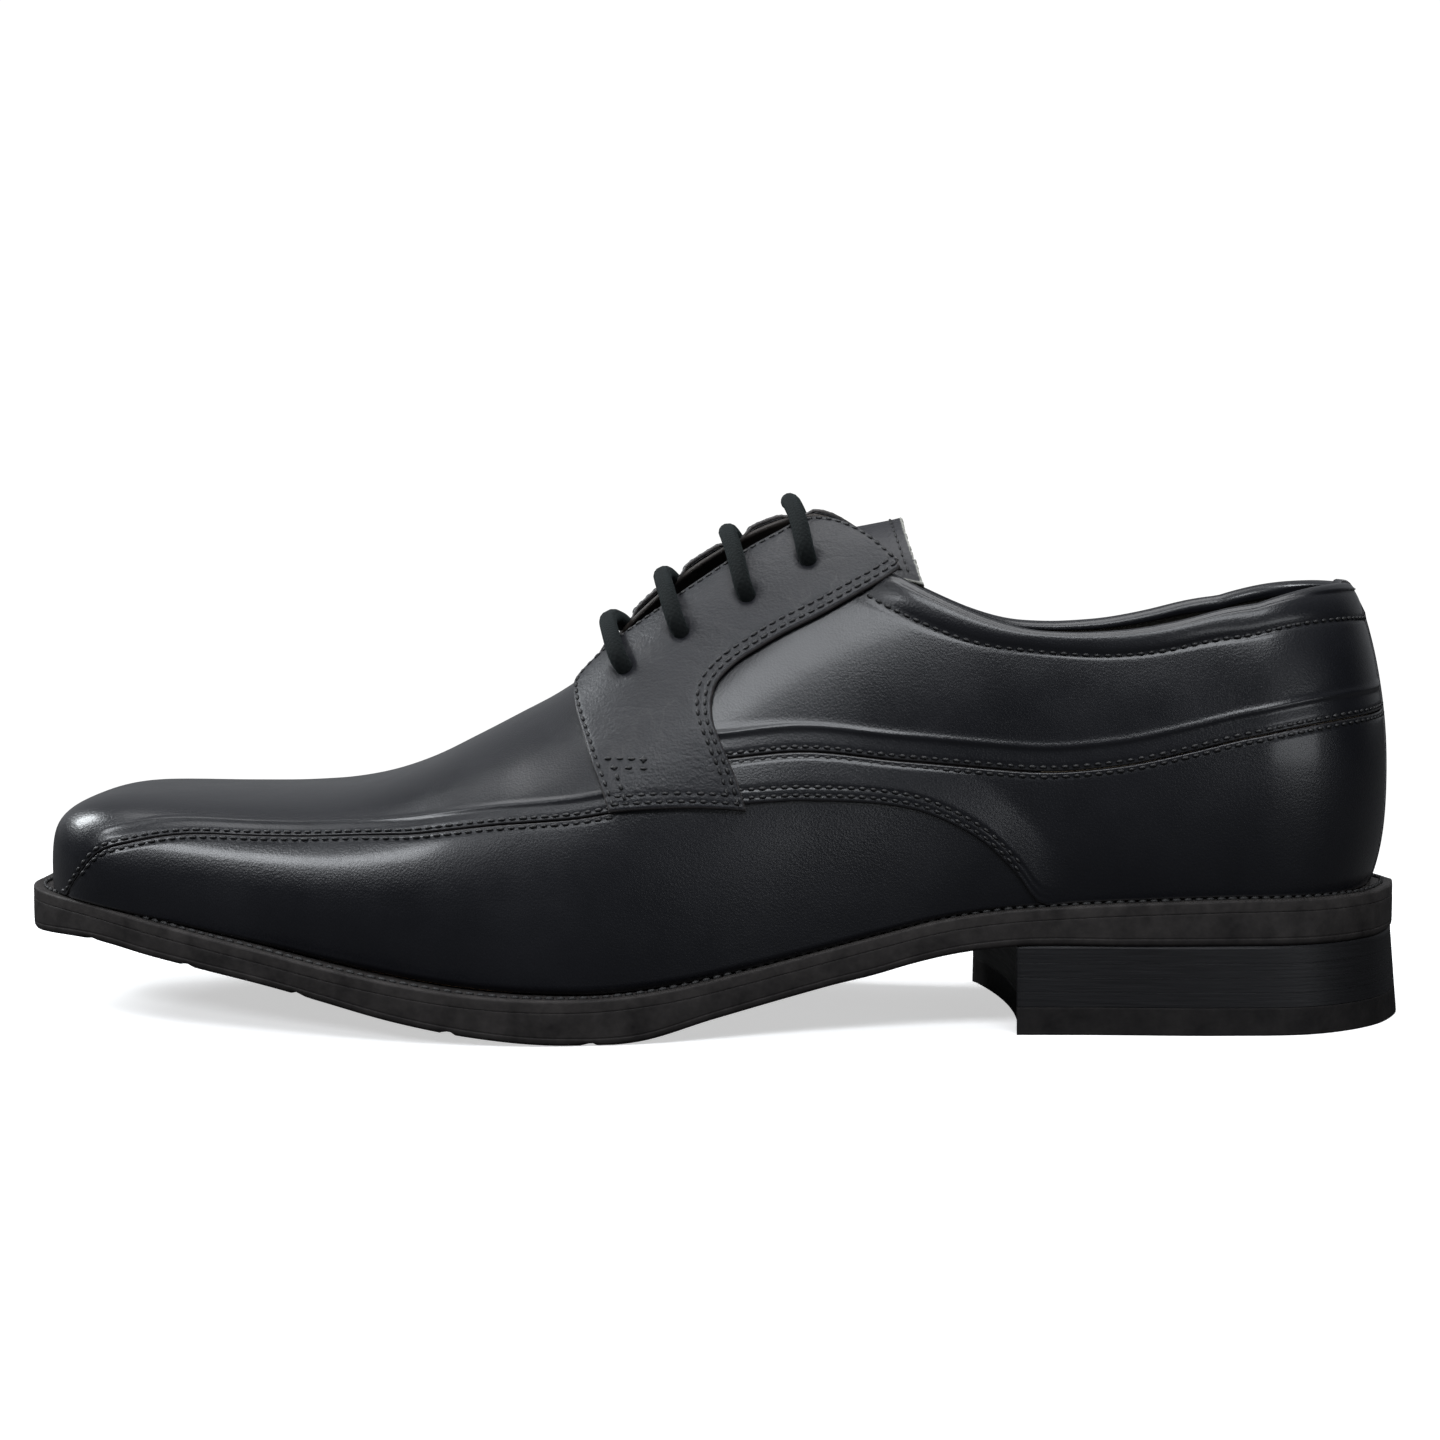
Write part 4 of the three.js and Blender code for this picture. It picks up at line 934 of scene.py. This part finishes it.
def buildRolled(name, grid, off, side):
    # carries a panel's rows over the topline and down inside
    a, r, high = grid["a"], grid["r"], grid["high"]
    cols = int((high[0] >= 2.3).sum())
    rows = [(a[:, :cols], r[:, :cols], off[:, :cols], np.minimum(grid["low"], grid["end"] + 9)[:, :cols])]
    spots = [(2.35 - 2.35 * math.sin(w), -1.35 + 2.1 * math.cos(w)) for w in np.linspace(0, math.pi, 13)]
    for depth, height in spots + [(3.0, -3.5)]:
        lower = (0.45 + 0.35 * (depth < 2.3)) * easeUp((a[:, 0] - 118) / 34) * (height > -3)
        row = [[np.interp(-depth, -high[i], values[i]) for i in range(len(r))] for values in (a, r)]
        rows.append([np.array(values)[:, None] for values in (*row, height - lower, np.full(len(r), 9.0))])
    a, r, off, edge = (np.hstack(values) for values in zip(*rows))
    return sheet(name, offUpper(a, -side * r, off), edge, upperSet["rolledLeather"], side > 0)


buildApron()
for title, plain, side in sides:
    row, flat = upperSet["row"], level(0.02)
    grid = layGrid(vampSidePlace, (2.2, 2.4), "V")
    off = np.clip((-19 - grid["a"]) / 3, 0, 1) * seamEdge(grid["high"])
    ob = buildPanel(f"vampSide{title}", grid, off, upperSet["leather"], side)
    dress(ob, "calf", "root", [f"vamp_side_{plain}"])
    sewRows(vampSidePlace, side, flat, [("V", row, 0.03, 0.565)])
    sewRows(apronPlace, side, flat, [("v", row, 0.175, 0.985)])

    grid = layGrid(lowerPlace, (2.2, 2.2), "vV")
    a, low = grid["a"], grid["low"]
    onLap = roundedEdge(low, 0.8, 0.75) + sum(groove(low, at) for at in upperSet["lapRows"])
    rise = 0.95 * np.clip((13 - low) / 9, 0, 1) * np.clip((78 - a) / 8, 0, 1)  # lies over the vamp
    off = rise + np.clip((72 - a) / 2, 0, 1) * onLap + seamEdge(grid["high"])
    ob = buildPanel(f"quarterLower{title}", grid, off, upperSet["leather"], side)
    dress(ob, "calf", "root", [f"quarter_lower_{plain}"])
    sewRows(lowerPlace, side, lambda a, r: 0.93 * np.clip((78 - a) / 8, 0, 1),
            [("v", at, 0.07, 0.42) for at in upperSet["lapRows"]])
    sewRows(lowerPlace, side, flat, [("V", row, 0.06, 0.97)])

    grid = layGrid(upperPlace, (2.0, 2.0), "vV")
    a, high = grid["a"], grid["high"]
    off = seamEdge(grid["low"]) + ridge(grid["low"], upperSet["stripRidge"])
    off = off + collarOff(high, a) * np.clip((a - 33) / 10, 0, 1) + groove(high, upperSet["rollWidth"], 0.3, 0.8)
    dress(buildRolled(f"quarterUpper{title}", grid, off, side), "calf", "root", [f"quarter_upper_{plain}"])
    sewRows(upperPlace, side, flat, [("v", row, 0.06, 0.97)])
    sewRows(upperPlace, side, level(0.0), [("V", upperSet["rollWidth"], 0.0, 0.97)])
print("stage: vamp and quarters")

# facings, sewn on over the quarters
facingSet = {"thick": 1.0, "top": 1.6, "rows": (1.5, 3.25), "topRow": 1.25, "sunk": 0.08, "holeDent": 0.55,
             "barDent": 1.5, "barTackOut": 0.12, "liningThick": 0.9}
barTack = places([[-20.6, 58.8], [-13.2, 58.9], [-13.2, 57.1], [-19.3, 57.1], [-17.2, 51.4]])


def facingOff(a, r, side):
    off = facingSet["top"] + lift(a, np.abs(r) * side)
    for at, up in eyelets:
        if side > 0:  # each bar of lace presses the higher inner facing down
            bar = np.exp(-((a - at + 1.2 + 6 * (0.25 - np.abs(r))) / 2.6) ** 4)
            off = off - facingSet["barDent"] * bar * easeUp((0.26 - np.abs(r)) / 0.07)
        d = np.linalg.norm(upperPoint(a, -np.abs(r)) - upperPoint(at, up), axis=-1)
        off = off - facingSet["holeDent"] * np.exp(-(d / 2.6) ** 4)  # the leather is drawn in round its hole
    return off


for title, plain, side in sides:
    edgeLine = outerTopEdge if side < 0 else innerTopEdge
    facingPlace = patch(Seam(facingBack), Seam(facingFront + edgeLine + facingTip))
    grid = layGrid(facingPlace, (1.1, 1.1), "uvV")
    off = facingOff(grid["a"], grid["r"], side)
    near, far = facingSet["rows"]
    for key, rows in (("low", (near, far)), ("high", (facingSet["topRow"],)), ("start", (near, far))):
        off = off + roundedEdge(grid[key], 0.8, 0.75) + sum(groove(grid[key], row, 0.16) for row in rows)
    ob = buildPanel(f"facing{title}", grid, off, facingSet["thick"], side)
    dress(ob, "facing", "root", [f"facing_{plain}"])
    sewRows(facingPlace, side, lambda a, r: facingOff(a, r, side) - facingSet["sunk"],
            [("v", near, 0.022, 0.985), ("v", far, 0.045, 0.96), ("V", facingSet["topRow"], 0.02, 0.985),
             ("u", near, 0.06, 0.94), ("u", far, 0.13, 0.9)])
    t = np.linspace(0, 1, 12)
    for (a0, r0), (a1, r1) in zip(barTack, barTack[1:]):
        a, r = a0 + (a1 - a0) * t, r0 + (r1 - r0) * t
        line = offUpper(a, -side * r, facingOff(a, r, side) + facingSet["barTackOut"])
        stitchLines["upper"].append(toWorld(line))

    liningFront = [(facingFront[0][0] + 5.5, innerEdge[0][1]), (-20.5, -0.31)]
    liningPlace = patch(Seam([(a - 0.6, r + 0.006) for a, r in innerEdge]),
                        Seam(liningFront + shifted(edgeLine[1:-1], -0.002) + [(33, -0.2)]))
    grid = layGrid(liningPlace, (2.2, 2.2), "")
    off = lift(grid["a"], np.abs(grid["r"]) * side) - 0.1
    ob = buildPanel(f"facingLining{title}", grid, off, facingSet["liningThick"], side)
    dress(ob, "lining", "root", [f"facing_lining_{plain}"])
print("stage: facings")

backSet = {"thick": 0.55, "out": 0.5, "topHalf": 5.6, "middleHalf": 6.2, "footHalf": 7.6}


def buildBackStrip():
    # a strip over the back seam, carried over the topline
    c = np.array([-1, -0.93, -0.84, -0.7, -0.5, -0.25, 0, 0.25, 0.5, 0.7, 0.84, 0.93, 1])
    sign = np.where(c < 0, -1.0, 1.0)[None, :]
    r0 = np.linspace(0.995, -backTop + 0.055, 60)
    reach = np.interp(r0, [-backTop, 0.6, 1], [backSet["topHalf"], backSet["middleHalf"], backSet["footHalf"]])
    depth = np.abs(upperPoint(backSeam, backTop)[..., 2] - upperPoint(backSeam, -r0)[:, 2])
    a = backSeam - np.abs(c)[None, :] * reach[:, None]
    inwards = (1 - np.abs(c)) * 7
    off = backSet["out"] + collarOff(depth, backSeam)[:, None] + roundedEdge(inwards, 0.8, 0.5)[None, :]
    rows = [offUpper(a, sign * r0[:, None], off)]
    for w in np.linspace(0.1, math.pi, 12):
        down, height = 2.35 - 2.35 * math.sin(w), 1.7 * math.cos(w) - 1.85
        r = -roundAt(backSeam, backHeight - down + 0.45 * math.sin(w))
        rows.append(offUpper(backSeam - np.abs(c)[None, :] * backSet["topHalf"], sign * r,
                             np.full((1, len(c)), height)))
    ob = sheet("backStrip", np.vstack(rows), inwards[None, :], backSet["thick"], faceAxis=0)
    dress(ob, "calf", "root", ["backstay"])


buildBackStrip()

liningSet = {"quarterOff": -3.0, "quarterThick": 0.85, "gripOff": -4.0, "gripThick": 0.7, "gripFrom": 98,
             "vampOff": -2.95, "vampThick": 0.8, "sockInset": 10.2, "sockUp": 1.4, "sockCup": 1.2, "sockThick": 0.9}
topAlong = smoothCurve([p[0] for p in topLine] + [backSeam], [p[1] for p in topLine] + [backTop])
quarterInside = patch(
    Seam([(-5.6, -1), (50, -1), (100, -1), (backSeam, -1)]),
    Seam(shifted(topLine + [(backSeam, backTop)], -0.018)),
    Seam([(-5.6, -1), (-5.6, -0.7)] + innerEdge[1:-1] + [(topLine[0][0], topLine[0][1] - 0.045)]),
    Seam([(backSeam, -1), (backSeam, backTop - 0.045)]))
for title, plain, side in sides:
    grid = layGrid(quarterInside, (3, 3), "")
    off = liningSet["quarterOff"] + 0.7 * easeUp((grid["v"] - 0.93) / 0.07)
    ob = buildPanel(f"quarterLining{title}", grid, off, liningSet["quarterThick"], side)
    dress(ob, "lining", "root", [f"quarter_lining_{plain}"])


def buildHeelGrip():
    c = np.linspace(-1, 1, 120)
    along = backSeam - np.abs(c) * (backSeam - liningSet["gripFrom"])
    v = np.linspace(0, 1, 26)
    r = -0.93 * (1 - v) + (topAlong(along) - 0.12)[:, None] * v
    r = np.where(c[:, None] < 0, r, -r)
    a = np.repeat(along[:, None], len(v), 1)
    points = offUpper(a, r, np.full(a.shape, liningSet["gripOff"]))
    ob = sheet("heelGrip", points, 9.0, liningSet["gripThick"], faceAxis=0)
    dress(ob, "suede", "root", ["heel_grip"])


def buildVampLining():
    u = np.linspace(0, 1, 70)[:, None]
    c = np.linspace(-1, 1, 71)[None, :]
    rear = -31 + 24.2 * np.clip((np.abs(c) - 0.25) / 0.2, 0, 1)
    a = last["toeStart"] + (rear - last["toeStart"]) * u
    points = offUpper(a, np.repeat(c, len(u), 0), np.full(a.shape, liningSet["vampOff"]))
    dress(sheet("vampLining", points, 9.0, liningSet["vampThick"]), "lining", "root", ["vamp_lining"])


def buildSockLiner():
    u, v = np.linspace(0, 1, 90), np.linspace(0, 1, 20)
    outer, inner = (line.at(u, liningSet["sockInset"])[:, None, :] for line in (outerSide, innerSide))
    xy = outer * (1 - v)[None, :, None] + inner * v[None, :, None]
    cup = (2 * v - 1)[None, :] ** 6 * liningSet["sockCup"]
    z = weltTop(xy[..., 0]) + liningSet["sockUp"] + cup * np.sin(math.pi * np.clip(u, 0.02, 0.98))[:, None] ** 0.3
    ob = sheet("sockLiner", np.concatenate([xy, z[..., None]], -1), 9.0, liningSet["sockThick"], faceAxis=2)
    dress(ob, "lining", "root", ["sock_liner"])


buildHeelGrip()
buildVampLining()
buildSockLiner()
print("stage: linings")

tongueSet = {"root": -28.0, "end": 41.5, "bow": 4.5, "half": 0.24, "leather": 1.1, "lining": 1.0,
             "liningDown": -1.35, "stitchInset": 0.055, "ragged": 0.12}
tongueDepth = smoothCurve([-30, -22, -16, -8, 8, 22, 30, 37, 46], [-4.8, -4.2, -3.4, -3.4, -4.5, -5.9, -6, -5.6, -5])


def tonguePlace(u, v):
    u, v = np.broadcast_arrays(np.asarray(u, float), np.asarray(v, float))
    c = 2 * v - 1
    r = c * (tongueSet["half"] + 0.012 * np.clip(u * 2, 0, 1) + 0.03 * u ** 8)
    along = tongueSet["root"] + (tongueSet["end"] - tongueSet["root"]) * u + tongueSet["bow"] * c * c * u
    return along, np.where(np.abs(r) < 1e-6, 1e-6, r)


def evenedUpper(a, r, off):
    # the crease that the last has over the instep is evened out
    steps = (-0.05, -0.025, 0.0, 0.025, 0.05)
    return sum(offUpper(a, r + step, off) for step in steps) / len(steps)


def buildTongue():
    u, v = np.linspace(0, 1, 90)[:, None], np.linspace(0, 1, 121)[None, :]
    a, r = tonguePlace(u, v)
    rng = np.random.default_rng(4)
    ragged = rng.normal(0, tongueSet["ragged"], a.shape) * np.clip((u - 0.985) / 0.015, 0, 1)
    edge = np.minimum((1 - u) * 75, (0.5 - np.abs(v - 0.5)) * 48)
    for title, down, thick, look, slotName, node in (
            ("tongueLeather", 0, tongueSet["leather"], "tongue", "calf", "tongue"),
            ("tongueLining", tongueSet["liningDown"], tongueSet["lining"], "lining", "lining", "tongue_lining")):
        points = evenedUpper(a + ragged, r, tongueDepth(a) + ragged + down)
        dress(sheet(title, points, edge, thick), look, "tongue", [node])
    inset, top = tongueSet["stitchInset"], 0.965
    up, across = np.linspace(0.5, top, 60), np.linspace(inset, 1 - inset, 60)
    u = np.concatenate([up, np.full(60, top), up[::-1]])
    v = np.concatenate([np.full(60, inset), across, np.full(60, 1 - inset)])
    a, r = tonguePlace(u, v)
    stitchLines["tongue"].append(toWorld(evenedUpper(a, r, tongueDepth(a) + 0.1)))


buildTongue()
print("stage: tongue")

# name of the thread's piece, lines, pitch, length and thickness of a stitch in metres, material, body
stitchSet = (("upperStitches", "upper", 0.0023, 0.00165, 0.00078, "thread", "root"),
             ("weltStitches", "welt", 0.0024, 0.0019, 0.0009, "weltThread", "root"),
             ("tongueStitches", "tongue", 0.0023, 0.0017, 0.0005, "thread", "tongue"))


def stitchTree():
    # stitches set along lines, each a flattened bead
    shape, number = "NodeSocketGeometry", "NodeSocketFloat"
    nodes, start, end, made = newGroup(
        "stitchAlong", "GeometryNodeTree",
        [("Geometry", shape, None), ("Pitch", number, 0.0023), ("Stitch Length", number, 0.0016),
         ("Thickness", number, 0.0005), ("Seed", "NodeSocketInt", 3), ("Material", "NodeSocketMaterial", None)],
        [("Geometry", shape)])
    given = start.outputs
    spots = nodes.add("GeometryNodeCurveToPoints", {"Curve": given["Geometry"], "Length": given["Pitch"]},
                      mode="LENGTH").outputs
    bead = nodes.add("GeometryNodeMeshUVSphere", {"Segments": 8, "Rings": 6, "Radius": 0.5}).outputs["Mesh"]
    size = nodes.add("ShaderNodeCombineXYZ", {0: given["Stitch Length"], 1: given["Thickness"],
                                              2: given["Thickness"]}).outputs[0]
    turn = nodes.add("FunctionNodeAlignRotationToVector", {"Vector": spots["Tangent"]}, axis="X")
    wobble = nodes.add("FunctionNodeRandomValue", {2: 0.9, 3: 1.1, "Seed": given["Seed"]}, data_type="FLOAT")
    scale = nodes.add("ShaderNodeVectorMath", {0: size, "Scale": wobble.outputs[1]}, operation="SCALE")
    put = nodes.add("GeometryNodeInstanceOnPoints", {
        "Points": spots["Points"], "Instance": bead, "Rotation": turn.outputs["Rotation"],
        "Scale": scale.outputs[0]})
    real = nodes.add("GeometryNodeRealizeInstances", {0: put.outputs[0]})
    colour = nodes.add("GeometryNodeSetMaterial", {"Geometry": real.outputs[0], "Material": given["Material"]})
    nodes.set(end, {0: colour.outputs[0]})
    return nodes.tree, {key: socket.identifier for key, socket in made.items()}


stitchNodes, stitchIds = stitchTree()
for name, kind, pitch, size, thick, material, body in stitchSet:
    curve = bpy.data.curves.new(name + "Lines", "CURVE")
    curve.dimensions = "3D"
    for line in stitchLines[kind]:
        spline = curve.splines.new("POLY")
        spline.points.add(len(line) - 1)
        spline.points.foreach_set("co", np.column_stack([line, np.ones(len(line))]).ravel())
    guide = bpy.data.objects.new(name + "Lines", curve)
    bpy.context.collection.objects.link(guide)
    mod = guide.modifiers.new("stitches", "NODES")
    mod.node_group = stitchNodes
    for key, value in (("Pitch", pitch), ("Stitch Length", size), ("Thickness", thick), ("Seed", 3),
                       ("Material", materials[material])):
        mod[stitchIds[key]] = value
    bpy.context.view_layer.update()
    mesh = bpy.data.meshes.new_from_object(guide.evaluated_get(bpy.context.evaluated_depsgraph_get()))
    bpy.data.objects.remove(guide)
    ob = bpy.data.objects.new(name, mesh)
    bpy.context.collection.objects.link(ob)
    mesh.shade_smooth()
    dress(ob, material, body)
print("stage: stitches")

# pieces that stay as the part's own solids
carried = {"insole": "board", "bottom_filler": "cork", "heel_seat_filler": "cork", "shank": "steel",
           "toe_puff": "stiffener", "heel_counter": "stiffener", "collar_padding": "foam", "aglet_1": "tip",
           "aglet_2": "tip"}
for node, finish in carried.items():
    ob = bpy.data.objects.get(node)
    if ob:
        ob.data.materials.clear()
        ob.data.materials.append(materials[finish])
    else:
        print("no object for", node)

studio = {"floor": 3.0, "white": 0.8, "glow": 0.55, "shade": 0.05, "fadeFrom": 0.2, "fadeTo": 0.42, "sky": 1.05,
          "room": 0.026, "backGlow": 0.24, "topGlow": 0.2}
softboxes = (  # name, place, aim, size, watts, colour
    ("overhead", (0.0, 0.05, 1.2), (0, 0, 0), (1.0, 0.8), 10, (0.97, 0.98, 1)),
    ("frontTop", (0.12, -0.85, 1.05), (0, 0, 0.05), (0.85, 0.4), 9.5, (0.93, 0.96, 1)),
    ("toeSide", (-1.05, 0.3, 0.78), (-0.1, 0, 0.05), (0.36, 0.55), 12, (0.93, 0.97, 1)),
    ("frontLeft", (-0.72, -0.72, 0.62), (-0.1, 0, 0.05), (0.3, 0.2), 4.2, (0.93, 0.96, 1)),
    ("heelSide", (0.9, -1.0, 0.16), (0.1, 0, 0.06), (0.9, 0.3), 3.0, (0.93, 0.96, 1)))


def slope(nodes, value, low, high, top=1.0):
    return nodes.add("ShaderNodeMapRange", {"Value": value, "From Min": low, "From Max": high, "To Max": top},
                     interpolation_type="SMOOTHSTEP").outputs[0]


def buildFloor():
    # pale floor that fades into the white behind it, and is dim in reflections
    s = studio["floor"]
    ob = makeMesh("floor", [(-s, -s, 0), (s, -s, 0), (s, s, 0), (-s, s, 0)], [(0, 1, 2, 3)], smooth=False)
    mat, nodes, shader = newMaterial("paleFloor")
    nodes.tree.nodes.remove(shader)

    def matt(value):
        return nodes.add("ShaderNodeBsdfDiffuse", {0: (value, value, value, 1)}).outputs[0]

    def glow(strength):
        return nodes.add("ShaderNodeEmission", {1: strength}).outputs[0]
    lit = nodes.add("ShaderNodeAddShader", {0: matt(studio["white"]), 1: glow(studio["glow"])}).outputs[0]
    far = nodes.add("ShaderNodeVectorMath", {0: nodes.place()}, operation="LENGTH").outputs["Value"]
    fade = slope(nodes, far, studio["fadeFrom"], studio["fadeTo"])
    seen = nodes.add("ShaderNodeMixShader", {0: fade, 1: lit, 2: glow(studio["sky"])}).outputs[0]
    isSeen = nodes.add("ShaderNodeLightPath").outputs["Is Camera Ray"]
    both = nodes.add("ShaderNodeMixShader", {0: isSeen, 1: matt(studio["shade"]), 2: seen}).outputs[0]
    nodes.set(nodes.tree.nodes["Material Output"], {0: both})
    ob.data.materials.append(mat)


def buildWorld():
    # white behind the shoe, bright above, and a dim room on the viewer's side
    world = bpy.data.worlds.new("studio")
    bpy.context.scene.world = world
    world.use_nodes = True
    nodes = Nodes(world.node_tree)
    nodes.tree.nodes.clear()
    towards = nodes.add("ShaderNodeTexCoord").outputs["Generated"]
    split = nodes.add("ShaderNodeSeparateXYZ", {0: towards}).outputs
    glow = nodes.maths("ADD", slope(nodes, split[1], 0.3, 0.98, studio["backGlow"]),
                       slope(nodes, split[2], 0.25, 0.95, studio["topGlow"]))
    glow = nodes.maths("ADD", glow, studio["room"])
    soft = nodes.add("ShaderNodeBackground", {0: (0.93, 0.96, 1.0, 1), 1: glow}).outputs[0]
    white = nodes.add("ShaderNodeBackground", {0: (1, 1, 0.995, 1), 1: studio["sky"]}).outputs[0]
    isSeen = nodes.add("ShaderNodeLightPath").outputs["Is Camera Ray"]
    both = nodes.add("ShaderNodeMixShader", {0: isSeen, 1: soft, 2: white}).outputs[0]
    nodes.add("ShaderNodeOutputWorld", {0: both})


buildFloor()
buildWorld()
for name, place, aim, size, power, colour in softboxes:
    data = bpy.data.lights.new(name, "AREA")
    data.shape = "RECTANGLE"
    data.size, data.size_y = size
    data.energy = power
    data.color = colour
    ob = bpy.data.objects.new(name, data)
    ob.location = place
    ob.rotation_euler = (Vector(aim) - Vector(place)).to_track_quat("-Z", "Y").to_euler()
    bpy.context.collection.objects.link(ob)
bpy.context.scene.view_settings.view_transform = "Standard"
print("stage: studio")
